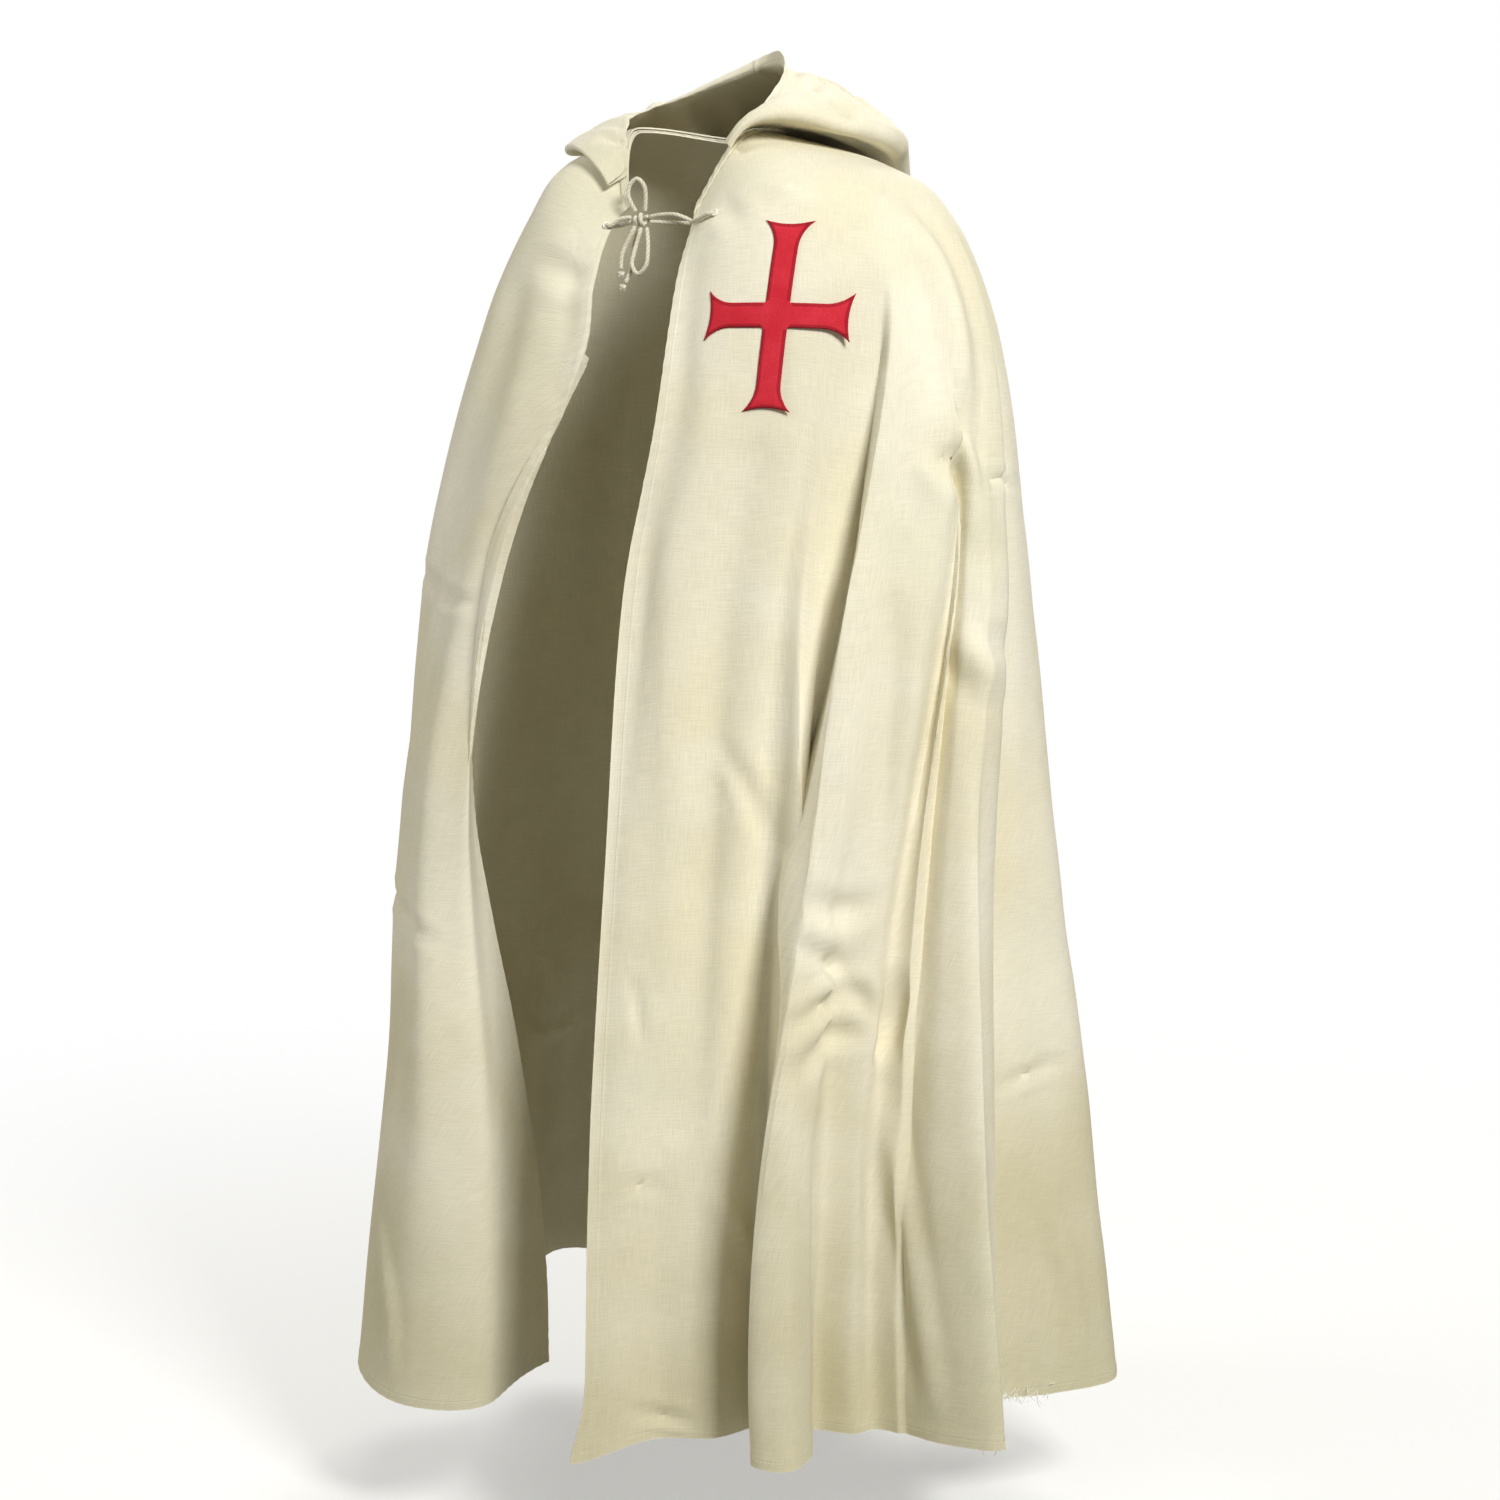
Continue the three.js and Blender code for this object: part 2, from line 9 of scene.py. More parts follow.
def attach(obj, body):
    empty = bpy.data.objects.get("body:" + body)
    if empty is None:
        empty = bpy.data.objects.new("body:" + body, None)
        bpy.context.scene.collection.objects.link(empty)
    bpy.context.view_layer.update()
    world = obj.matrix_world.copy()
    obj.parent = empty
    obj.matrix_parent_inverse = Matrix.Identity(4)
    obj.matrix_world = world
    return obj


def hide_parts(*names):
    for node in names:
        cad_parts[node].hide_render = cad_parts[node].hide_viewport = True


# A hooded crusader cape as it hangs from the shoulders. The wearer faces -Y and the wearer's left is +X.
# Settings are in millimetres, as the garment is measured, and every mesh is made in metres.

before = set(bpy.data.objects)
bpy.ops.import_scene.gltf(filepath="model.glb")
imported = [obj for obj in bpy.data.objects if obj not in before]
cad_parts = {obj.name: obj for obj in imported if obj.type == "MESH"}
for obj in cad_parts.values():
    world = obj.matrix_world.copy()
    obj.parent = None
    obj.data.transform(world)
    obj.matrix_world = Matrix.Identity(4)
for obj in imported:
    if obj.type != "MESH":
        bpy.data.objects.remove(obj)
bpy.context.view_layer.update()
mm = 0.001

# The camera stands to the wearer's left and a little above the waist, as in the photo.
view = {"azimuth": 35, "elevation": 9, "distance": 3.7, "target": (0.024, 0.040, -0.635), "lens": 82.6}


def addCamera():
    side = math.radians(view["azimuth"])
    lift = math.radians(view["elevation"])
    away = Vector((math.sin(side) * math.cos(lift), -math.cos(side) * math.cos(lift), math.sin(lift)))
    bpy.ops.object.camera_add(location=Vector(view["target"]) + away * view["distance"])
    camera = bpy.context.object
    camera.name = "camera"
    camera.rotation_euler = away.to_track_quat("Z", "Y").to_euler()
    camera.data.lens = view["lens"]
    bpy.context.scene.camera = camera


addCamera()
print("camera placed")

# Colours and materials.


def linear(hexColour):
    parts = [int(hexColour[i:i + 2], 16) / 255 for i in (1, 3, 5)]
    return tuple(p / 12.92 if p <= 0.04045 else ((p + 0.055) / 1.055) ** 2.4 for p in parts) + (1,)


def setInputs(node, values):
    for key, value in values.items() if isinstance(values, dict) else enumerate(values):
        if isinstance(value, bpy.types.NodeSocket):
            node.id_data.links.new(value, node.inputs[key])
        else:
            node.inputs[key].default_value = value


def addNode(tree, kind, values=(), output=0, **settings):
    node = tree.nodes.new("ShaderNode" + kind)
    for key, value in settings.items():
        setattr(node, key, value)
    setInputs(node, values)
    return node.outputs[output]


def newMaterial(name):
    material = bpy.data.materials.new(name)
    material.use_nodes = True
    add = partial(addNode, material.node_tree)
    return material, add, material.node_tree.nodes["Principled BSDF"], add("TexCoord", output="Object")


times = {"operation": "MULTIPLY"}
soft = {"interpolation_type": "SMOOTHSTEP"}


def sineAlong(add, place, pitch):
    turns = add("Math", (place, 2 * math.pi / pitch), **times)
    return add("Math", (turns,), operation="SINE")


def layered(add, colour, layers):
    # Each layer is a share and a colour.
    for share, tint in layers:
        colour = add("Mix", {0: share, 6: colour, 7: linear(tint)}, 2, data_type="RGBA")
    return colour


# Undyed cotton canvas, plain woven and washed, so that it is matt. Its UV is in metres across and down. "edge"
# is the distance in millimetres from its nearest turned edge, and "run" the place along that edge.
canvasLook = {
    "light": "#F1EBD6", "warm": "#EAE2C5", "grey": "#DFDBC0", "yarn": 1.15, "weaveBump": 0.12, "slubBump": 0.3,
    "crumple": 2.0, "soil": "#B9B189", "soilAndShadeShare": 0.55, "soilAndShadeLevels": (-1.52, -1.02), "stitchAt": 9.0,
    "stitchPitch": 3.2, "stitchBump": 0.3, "stitchShade": "#B9B08E", "stitchLight": "#F2EDDD", "edgeHighlight": "#F1EBD8",
}


def canvasMaterial():
    look = canvasLook
    material, add, shader, place = newMaterial("undyed canvas")
    uv = add("UVMap", uv_map="UVMap")
    edge, run = (add("Attribute", output="Fac", attribute_name=name) for name in ("edge", "run"))
    # The yarn is drawn a little coarser than real canvas, so that it shows.
    yarns = []
    slubs = []
    for axis, stretch in enumerate(((900, 40, 1), (40, 900, 1))):
        yarns.append(sineAlong(add, add("SeparateXYZ", (uv,), axis), look["yarn"] * mm))
        # Slubs run along the threads for 20 to 40 mm.
        stretched = add("VectorMath", (uv, stretch), **times)
        slubs.append(add("TexNoise", {"Vector": stretched, "Scale": 1.0, "Detail": 1}))
    crossing = add("Math", yarns, **times)
    slub = add("Math", slubs)
    # Soft patches 60 to 200 mm wide, where the cotton is warmer or greyer.
    patch = add("TexNoise", {"Vector": place, "Scale": 5.5, "Detail": 2, "Roughness": 0.55})
    grime = add("TexNoise", {"Vector": place, "Scale": 2.3, "Detail": 2, "Roughness": 0.6})
    # Soil and painted shade darken the cloth from the hem, 150 to 450 mm high.
    height = add("SeparateXYZ", (place,), 2)
    reach = add("Math", (height, add("Math", (patch, -0.5), **times)))
    woven = add("Math", (slub, add("Math", (crossing, 0.12), **times)))
    shade = add("MapRange", (woven, 0.7, 1.3, 0.94, 1.04), **soft)
    # A row of stitches holds the turned edge, each sunk a little into the cloth.
    fromLine = add("Math", (edge, look["stitchAt"]), operation="SUBTRACT")
    offLine = add("Math", (fromLine,), operation="ABSOLUTE")
    onLine = add("MapRange", (offLine, 0.35, 1.1, 1, 0), **soft)
    dashes = add("MapRange", (sineAlong(add, run, look["stitchPitch"]), -0.5, 0.3), **soft)
    stitch = add("Math", (onLine, dashes), **times)
    colour = layered(add, linear(look["light"]), [
        (add("MapRange", (patch, 0.36, 0.68), **soft), look["warm"]),
        (add("MapRange", (grime, 0.45, 0.7, 0, 0.6), **soft), look["grey"]),
        # Soil and painted shade, darker towards the hem.
        (add("MapRange", (reach, *look["soilAndShadeLevels"], look["soilAndShadeShare"], 0), **soft), look["soil"]),
    ])
    colour = add("VectorMath", (colour, shade), **times)
    colour = layered(add, colour, [
        # Painted shade darkens the sunk stitch line.
        (add("Math", (onLine, 0.16), **times), look["stitchShade"]),
        (add("Math", (stitch, 0.25), **times), look["stitchLight"]),
        # Painted highlight lightens the outermost 1.6 mm of the cloth's edges and seams.
        (add("MapRange", (edge, 0, 1.6, 0.35, 0), **soft), look["edgeHighlight"]),
    ])
    # One bump, in millimetres: the crumple of 15 to 40 mm that washing leaves, the slubs, the weave and the
    # stitching.
    crumple = add("TexNoise", {"Vector": place, "Scale": 26, "Detail": 1, "Roughness": 0.5})
    relief = add("Math", (crumple, look["crumple"]), **times)
    for part, size in ((slub, look["slubBump"]), (crossing, look["weaveBump"]), (onLine, -look["stitchBump"])):
        relief = add("Math", (relief, add("Math", (part, size), **times)))
    bump = add("Bump", {"Strength": 0.6, "Distance": mm, "Height": relief})
    setInputs(shader, {"Base Color": colour, "Normal": bump, "Roughness": 0.92, "Sheen Weight": 0.1,
                       "Sheen Roughness": 0.6, "Specular IOR Level": 0.15})
    return material


# Red woollen felt, matt and a little fuzzy. Here "edge" is the distance from the cross's edge, in millimetres.
woolLook = {
    "red": "#CE2A38", "deep": "#A01A26", "bright": "#DA3644", "sheen": "#E0606A", "thread": "#7A1019",
    "satin": 3.4, "pitch": 1.5,
}


def woolMaterial():
    look = woolLook
    satin = look["satin"]
    material, add, shader, place = newMaterial("red wool")
    edge, run = (add("Attribute", output="Fac", attribute_name=name) for name in ("edge", "run"))
    patch = add("TexNoise", {"Vector": place, "Scale": 30, "Detail": 4})
    fuzz = add("TexNoise", {"Vector": place, "Scale": 900, "Detail": 2, "Roughness": 0.7})
    # Satin stitch covers the edge: short threads side by side, across it.
    onEdge = add("MapRange", (edge, satin - 0.7, satin + 0.5, 1, 0), **soft)
    threads = sineAlong(add, run, look["pitch"])
    darker = add("MapRange", (threads, -1, 1, 0.25, 0.6), **soft)
    groove = add("MapRange", (edge, satin - 0.2, satin + 1.1, 1, 0), **soft)
    inner = add("MapRange", (edge, satin - 1.2, satin), **soft)
    pulledShade = add("Math", (groove, inner), **times)
    colour = layered(add, linear(look["red"]), [
        (add("MapRange", (patch, 0.35, 0.65), **soft), look["bright"]),
        (add("MapRange", (fuzz, 0.35, 0.7, 0, 0.4), **soft), look["deep"]),
        (add("Math", (onEdge, darker), **times), look["thread"]),
        # Painted shade darkens the felt where the satin stitch pulls it in.
        (add("Math", (pulledShade, 0.5), **times), look["deep"]),
    ])
    felt = add("Bump", {"Strength": 0.6, "Distance": 0.4 * mm, "Height": fuzz})
    height = add("Math", (onEdge, threads), **times)
    sewn = add("Bump", {"Strength": 0.6, "Distance": 0.35 * mm, "Height": height, "Normal": felt})
    setInputs(shader, {"Base Color": colour, "Normal": sewn, "Roughness": 0.9, "Sheen Weight": 0.12,
                       "Sheen Roughness": 0.5, "Sheen Tint": linear(look["sheen"]), "Specular IOR Level": 0.15})
    return material


# White cotton sewing thread, matt.
def threadMaterial():
    material, add, shader, place = newMaterial("cotton thread")
    tint = add("TexNoise", {"Vector": place, "Scale": 90, "Detail": 1})
    colour = layered(add, linear("#F4F1E6"), [(tint, "#FFFFFF")])
    setInputs(shader, {"Base Color": colour, "Roughness": 0.7})
    return material


# Twisted cotton cord. Its fibres follow the plies, whose shape is in the mesh. Painted shade darkens the
# grooves between the plies.
def cordMaterial():
    material, add, shader, place = newMaterial("cotton cord")
    uv = add("UVMap", uv_map="UVMap")
    fibres = add("VectorMath", (uv, (2600, 500, 1)), **times)
    strand = add("TexNoise", {"Vector": fibres, "Scale": 1.0, "Detail": 3})
    soil = add("TexNoise", {"Vector": place, "Scale": 60, "Detail": 3})
    groove = add("Attribute", output="Fac", attribute_name="groove")
    colour = layered(add, linear("#D9D2BB"), [
        (add("MapRange", (strand, 0.35, 0.7), **soft), "#EEE8D6"),
        (add("MapRange", (soil, 0.45, 0.7, 0, 0.5), **soft), "#BDB597"),
        # Painted shade in the grooves between the plies.
        (add("Math", (groove, 0.65), **times), "#8F8869"),
    ])
    bump = add("Bump", {"Strength": 0.6, "Distance": 0.25 * mm, "Height": strand})
    setInputs(shader, {"Base Color": colour, "Normal": bump, "Roughness": 0.85, "Sheen Weight": 0.3})
    return material


canvas = canvasMaterial()
wool = woolMaterial()
cordCotton = cordMaterial()
thread = threadMaterial()
print("materials made")

# The form, as in the CAD model. Rings run from the neck down: reaches from the neck's axis, heights of the
# ring's sides, front and back, and the plan angles of the two front edges.
ringColumns = ("left", "right", "ahead", "behind", "side", "front", "back", "leftEdge", "rightEdge")
ringRows = {
    "neck": (68, 76, 96, 68, 20, -104, 8, 28, 27),
    "collar": (100, 100, 114, 98, 12, -128, 0, 26, 27),
    "shoulder": (190, 160, 140, 162, -12, -166, -34, 24, 19),
    "point": (258, 199, 158, 210, -54, -216, -96, 22, 14),
    "upper arm": (318, 264, 180, 244, -170, -290, -215, 19, 20),
    "elbow": (364, 342, 214, 264, -420, -440, -430, 12, 38),
    "hand": (392, 364, 268, 284, -700, -700, -700, 13, 43),
    "knee": (432, 366, 322, 306, -980, -980, -980, 14, 33),
    "hem": (466, 380, 372, 326, -1285, -1285, -1285, 16, 30),
}
capeDrop = 1285

# Lines down the cloth from the left front edge round the back to the right front edge: plan angle at the
# shoulder and at the hem, depth inside the ring at the hem, and the drop where the fold starts.
foldColumns = ("shoulder", "hem", "depth", "start")
foldRows = {
    "left edge": (26, 16, 0, 100),
    "edge turn": (32, 19, 18, 500),
    "front panel": (42, 26, 66, 380),
    "front slope": (58, 36, 82, 330),
    "deep valley": (66, 46, 124, 300),
    "hand ridge": (75, 42, 18, 200),
    "hand crest": (80, 46, -6, 200),
    "hand side": (85, 51, 40, 420),
    "hand valley": (88, 55, 118, 480),
    "elbow crest": (92, 61, 100, 420),
    "elbow dip": (95, 66, 106, 260),
    "elbow rise": (97, 70, 46, 340),
    "side ridge": (98, 74, 4, 220),
    "side edge": (100, 77, 20, 220),
    "side valley": (104, 89, 104, 220),
    "side slope": (109, 98, 58, 240),
    "left blade": (117, 108, -6, 300),
    "blade side": (126, 119, 14, 340),
    "left trough": (139, 132, 84, 330),
    "left fold": (151, 147, -4, 380),
    "back trough": (166, 164, 76, 420),
    "back middle": (180, 180, 2, 420),
    "back furrow": (193, 194, 66, 360),
    "right fold": (206, 211, -8, 340),
    "right trough": (221, 226, 88, 380),
    "right blade": (236, 243, -4, 400),
    "arm trough": (252, 260, 62, 420),
    "arm ridge": (268, 277, -4, 420),
    "forearm dip": (285, 298, 16, 520),
    "cone side": (304, 322, -14, 420),
    "cone crest": (320, 341, -10, 420),
    "cone turn": (328, 349, 60, 480),
    "right edge": (333, 331, 182, 420),
}
ringTable = dict(zip(ringColumns, zip(*ringRows.values())))
foldTable = dict(zip(foldColumns, zip(*foldRows.values())))
backLine = list(foldRows).index("back middle")
lastLine = len(foldRows) - 1
lastPlace = len(ringRows) - 1


def through(values, place):
    values = np.asarray(values, float)
    last = len(values) - 1
    place = np.asarray(place, float)
    i = np.clip(np.floor(place).astype(int), 0, last - 1)
    t = place - i
    before = values[np.maximum(i - 1, 0)]
    after = values[np.minimum(i + 2, last)]
    slopeIn = (values[i + 1] - before) / 2
    slopeOut = (after - values[i]) / 2
    rise = values[i + 1] - values[i]
    bend = 3 * rise - 2 * slopeIn - slopeOut
    return values[i] + t * (slopeIn + t * (bend + t * (slopeIn + slopeOut - 2 * rise)))


def smooth(value, low, high):
    t = np.clip((value - low) / (high - low), 0, 1)
    return t * t * (3 - 2 * t)


def formPoint(place, degrees, inset=0.0):
    ring = {name: through(column, place) for name, column in ringTable.items()}
    sine = np.sin(np.radians(degrees))
    cosine = np.cos(np.radians(degrees))
    acrossReach = np.where(sine > 0, ring["left"], ring["right"])
    alongReach = np.where(cosine > 0, ring["ahead"], ring["behind"])
    reach = 1 / np.hypot(sine / acrossReach, cosine / alongReach) - inset
    level = np.where(cosine > 0, ring["front"], ring["back"])
    share = np.abs(cosine) ** np.where(cosine > 0, 4, 2)
    height = ring["side"] + (level - ring["side"]) * share
    return np.stack([reach * sine, -reach * cosine, height], -1)


def capePoint(place, line):
    place, line = np.broadcast_arrays(np.asarray(place, float), np.asarray(line, float))
    ring = {name: through(column, place) for name, column in ringTable.items()}
    drop = -(ring["side"] + ring["front"] + ring["back"]) / 3
    fall = 1 - (1 - np.clip(drop / capeDrop, 0, 1)) ** 1.6
    shoulder = through(foldTable["shoulder"], line)
    angle = shoulder + (through(foldTable["hem"], line) - shoulder) * fall
    ends = zip(foldTable["shoulder"], foldTable["hem"])
    first, *_, last = [atShoulder + (atHem - atShoulder) * fall for atShoulder, atHem in ends]
    leftPull = (ring["leftEdge"] - first) * (1 - smooth(angle, first, 110))
    rightPull = (360 - ring["rightEdge"] - last) * smooth(angle, 225, last)
    start = through(foldTable["start"], line)
    opened = smooth(drop, start, start + 900) * 0.55 + np.clip((drop - start) / (capeDrop - start), 0, 1) * 0.45
    return formPoint(place, angle + leftPull + rightPull, through(foldTable["depth"], line) * opened)


def unit(vectors):
    vectors = np.asarray(vectors, float)
    return vectors / (np.linalg.norm(vectors, axis=-1, keepdims=True) + 1e-12)


def normalAt(surface, a, b, step=0.01):
    alongA = surface(a + step, b) - surface(a - step, b)
    return unit(np.cross(alongA, surface(a, b + step) - surface(a, b - step)))


def onCape(place, line, lift):
    return capePoint(place, line) + normalAt(capePoint, place, line) * lift


# Cords come first: each is a list of points, those on the cape worked out from its surface.
cordDiameter = 4.5
cordLift = cordDiameter / 2 + 0.8
insideLift = -(2 + cordLift)
leftEyelet = (1.79, 1.83)  # place and line
rightEyelet = (1.22, 31.18)
tieStrands = {
    "tie_left_front": [onCape(*leftEyelet, -1), onCape(1.7, 1.66, cordLift), onCape(1.45, 1.2, cordLift),
                       onCape(1.1, 0.55, cordLift + 0.3), onCape(0.82, 0.05, cordLift + 1), (30, -99, -66),
                       (12, -98, -66), (-5.4, -96, -68.2)],
    "tie_left_back": [onCape(1.0, 0.6, insideLift - 0.5), onCape(0.85, 0.1, insideLift - 2.5), (38, -87, -75),
                      (20, -93, -74), (6, -96, -73.4), (-5.4, -96, -73.5)],
    "tie_right_front": [onCape(*rightEyelet, -1), onCape(1.19, 31.35, cordLift),
                        onCape(1.1, 31.8, cordLift + 0.2), (-41, -101, -71), (-28.6, -97, -68.6)],
    "tie_right_back": [onCape(1.1, 31.5, insideLift), (-47, -92, -77), (-38, -94, -75), (-28.6, -96, -73.6)],
    "tie_loop_upper": [(-22.4, -97, -63.4), (-27, -99, -55), (-30.3, -100, -45), (-28.6, -99, -35.8),
                       (-21, -97, -29.8), (-13.4, -96, -35.8), (-11.3, -95.5, -45), (-11.5, -95.5, -54),
                       (-12, -96, -63.3)],
    "tie_loop_lower": [(-15.5, -98, -79.2), (-16.8, -103, -93), (-18, -107.5, -106), (-17.6, -110.8, -117),
                       (-9.2, -112, -125.8), (-0.8, -109.4, -117), (-1.8, -105, -104), (-5, -100.5, -91.5),
                       (-9.5, -96, -79)],
    "tie_tail_upper": [(-22.6, -98.5, -77.5), (-27.5, -104, -92), (-32, -109, -107), (-31.5, -111.5, -121.8)],
    "tie_tail_lower": [(-21, -93, -78.6), (-22.8, -98, -92), (-22.5, -104, -108), (-22.3, -108, -124),
                       (-24, -110.4, -130.6), (-25.75, -112.35, -135.4)],
}
bowKnot = (-17, -96, -71)
endKnots = {"end_knot_upper": (-31, -112, -127), "end_knot_lower": (-27.5, -114, -140)}
plies = {"count": 3, "lay": 15.0, "depth": 0.2, "sides": 18, "step": 0.9}


def distances(points):
    return np.concatenate([[0], np.cumsum(np.linalg.norm(np.diff(points, axis=0), axis=1))])


def curveThrough(points, step=plies["step"]):
    points = np.array(points, float)
    knots = [0.0]
    for a, b in zip(points[:-1], points[1:]):
        knots.append(knots[-1] + math.sqrt(np.linalg.norm(b - a)))
    padded = np.vstack([2 * points[0] - points[1], points, 2 * points[-1] - points[-2]])
    knots = [-knots[1]] + knots + [2 * knots[-1] - knots[-2]]
    fine = []
    for i in range(len(points) - 1):
        at = knots[i:i + 4]
        for t in np.linspace(at[1], at[2], 24, endpoint=i == len(points) - 2):
            near = padded[i:i + 4]
            for first, span in ((0, 1), (0, 2), (1, 1)):
                # Each round blends neighbours, until one point is left.
                ends = [(at[first + k], at[first + k + span]) for k in range(len(near) - 1)]
                near = [((b - t) * near[k] + (t - a) * near[k + 1]) / (b - a) for k, (a, b) in enumerate(ends)]
            fine.append(near[0])
    fine = np.array(fine)
    lengths = distances(fine)
    count = max(6, int(round(lengths[-1] / step)))
    marks = np.linspace(0, lengths[-1], count + 1)
    return np.stack([np.interp(marks, lengths, fine[:, k]) for k in range(3)], 1)


def meshFrom(name, points, faces, material):
    mesh = bpy.data.meshes.new(name)
    mesh.from_pydata((np.asarray(points) * mm).tolist(), [], faces)
    mesh.update()
    piece = bpy.data.objects.new(name, mesh)
    bpy.context.collection.objects.link(piece)
    mesh.materials.append(material)
    mesh.shade_smooth()
    return piece


def ringOf(centre, side, up, radius, sides):
    turn = np.linspace(0, 2 * math.pi, sides, endpoint=False)
    return centre + np.outer(radius * np.cos(turn), side) + np.outer(radius * np.sin(turn), up)


def tubeFaces(rows, sides, first=0, closed=False):
    faces = []
    for i in range(rows if closed else rows - 1):
        a = first + i * sides
        b = first + (i + 1) % rows * sides
        for k in range(sides):
            following = (k + 1) % sides
            faces.append((a + k, a + following, b + following, b + k))
    return faces


def settle(piece, node=None):
    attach(piece, "root")
    if node:
        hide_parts(node)
    return piece


def keepValues(piece, **attributes):
    for name, values in attributes.items():
        attribute = piece.data.attributes.new(name, "FLOAT", "POINT")
        attribute.data.foreach_set("value", np.asarray(values, np.float32).ravel())


def layFlat(piece, across, down):
    layers = piece.data.uv_layers
    layer = layers[0] if layers else layers.new()
    layer.name = "UVMap"
    corner = np.empty(len(piece.data.loops), np.int32)
    piece.data.loops.foreach_get("vertex_index", corner)
    uv = np.stack([np.ravel(across)[corner], np.ravel(down)[corner]], 1) * mm
    layer.data.foreach_set("uv", uv.astype(np.float32).ravel())


def twistedCord(name, centres):
    sides = plies["sides"]
    diameter = cordDiameter
    tangents = unit(np.gradient(centres, axis=0))
    side = np.cross(tangents[0], (0.3, 0.1, 0.95))
    turn = np.linspace(0, 2 * math.pi, sides, endpoint=False)
    ends = distances(centres)
    points = []
    grooves = []
    for i, centre in enumerate(centres):
        side = unit(side - tangents[i] * np.dot(side, tangents[i]))
        up = np.cross(tangents[i], side)
        twist = turn - 2 * math.pi * ends[i] / plies["lay"]
        lobe = np.abs(np.cos(twist * plies["count"] / 2)) ** 0.6
        close = min(ends[i], ends[-1] - ends[i])
        rounded = math.sqrt(max(0.12, 1 - (1 - min(close / (diameter * 0.45), 1)) ** 2))
        radius = diameter / 2 * (1 - plies["depth"] + plies["depth"] * lobe) * rounded
        points.extend(ringOf(centre, side, up, radius, sides))
        grooves.extend(1 - lobe)
    faces = tubeFaces(len(centres), sides)
    faces.append(tuple(range(sides - 1, -1, -1)))
    faces.append(tuple(range(len(points) - sides, len(points))))
    piece = meshFrom(name, points, faces, cordCotton)
    layFlat(piece, np.tile(turn * diameter / 2, len(ends)), np.repeat(ends, sides))
    keepValues(piece, groove=grooves)
    return piece


def knotTurns():
    # Almost two and a half turns round the strands, from the wearer's left to the right.
    t = np.linspace(0, 1, 40)
    angle = 2 * math.pi * 2.4 * t + 0.6
    across = bowKnot[0] + 8.6 * (1 - 2 * t)
    swell = np.sin(math.pi * np.clip(t * 1.1, 0.08, 1)) ** 0.4
    ahead = bowKnot[1] - 3.7 * np.cos(angle) * swell
    return np.stack([across, ahead, bowKnot[2] + 5.1 * np.sin(angle) * swell], 1)


def overhand(middle):
    t = np.linspace(0, 2 * math.pi, 40)
    loop = np.stack([np.sin(t) + 2 * np.sin(2 * t), -np.sin(3 * t) * 1.4, np.cos(t) - 2 * np.cos(2 * t)], 1)
    return np.array(middle) + loop * 0.8


def addCord(name, centres):
    return settle(twistedCord("cord_" + name.removeprefix("tie_"), centres), name)


# The knots and short strands that a free strand carries.
carried = {
    "tie_left_front": ["tie_knot", "tie_right_front", "tie_right_back"],
    "tie_tail_upper": ["end_knot_upper"],
    "tie_tail_lower": ["end_knot_lower"],
}


def addTie():
    routes = {name: curveThrough(points) for name, points in tieStrands.items()}
    routes["tie_knot"] = curveThrough(knotTurns())
    for name, middle in endKnots.items():
        routes[name] = curveThrough(overhand(middle))
    pieces = {name: addCord(name, centres) for name, centres in routes.items()}
    loads = sum(carried.values(), [])
    for name in pieces:
        if name in loads:
            continue


# Each eyelet is a hole worked round with thread.
eyelet = {
    "radius": 3.1, "thread": 0.75, "stitches": 22, "ripple": 0.18, "aroundSteps": 110, "sides": 10, "lift": 0.5,
}


def addEyelet(name, spot):
    centre = onCape(*spot, eyelet["lift"])
    normal = normalAt(capePoint, *spot)
    sideways = unit(np.cross(normal, (0, 0, 1)))
    upwards = np.cross(sideways, normal)
    points = []
    for i in range(eyelet["aroundSteps"]):
        around = 2 * math.pi * i / eyelet["aroundSteps"]
        out = math.cos(around) * sideways + math.sin(around) * upwards
        thick = eyelet["thread"] * (1 + eyelet["ripple"] * math.sin(around * eyelet["stitches"]))
        points.extend(ringOf(centre + out * eyelet["radius"], out, normal, thick, eyelet["sides"]))
    faces = tubeFaces(eyelet["aroundSteps"], eyelet["sides"], closed=True)
    return settle(meshFrom(name, points, faces, thread))


addTie()
print("tie made")

# Cloth. A piece is a grid whose columns run along its lines and whose rows run down the cape, the hem first.
cloth = {
    "thickness": 1.5, "creaseGain": 1.8, "turn": 10.5, "turnEdge": 1.3, "turnRise": 0.5, "pucker": 0.35,
    "puckerPitch": 17, "puckerReach": 22, "seamWidth": 3,
}
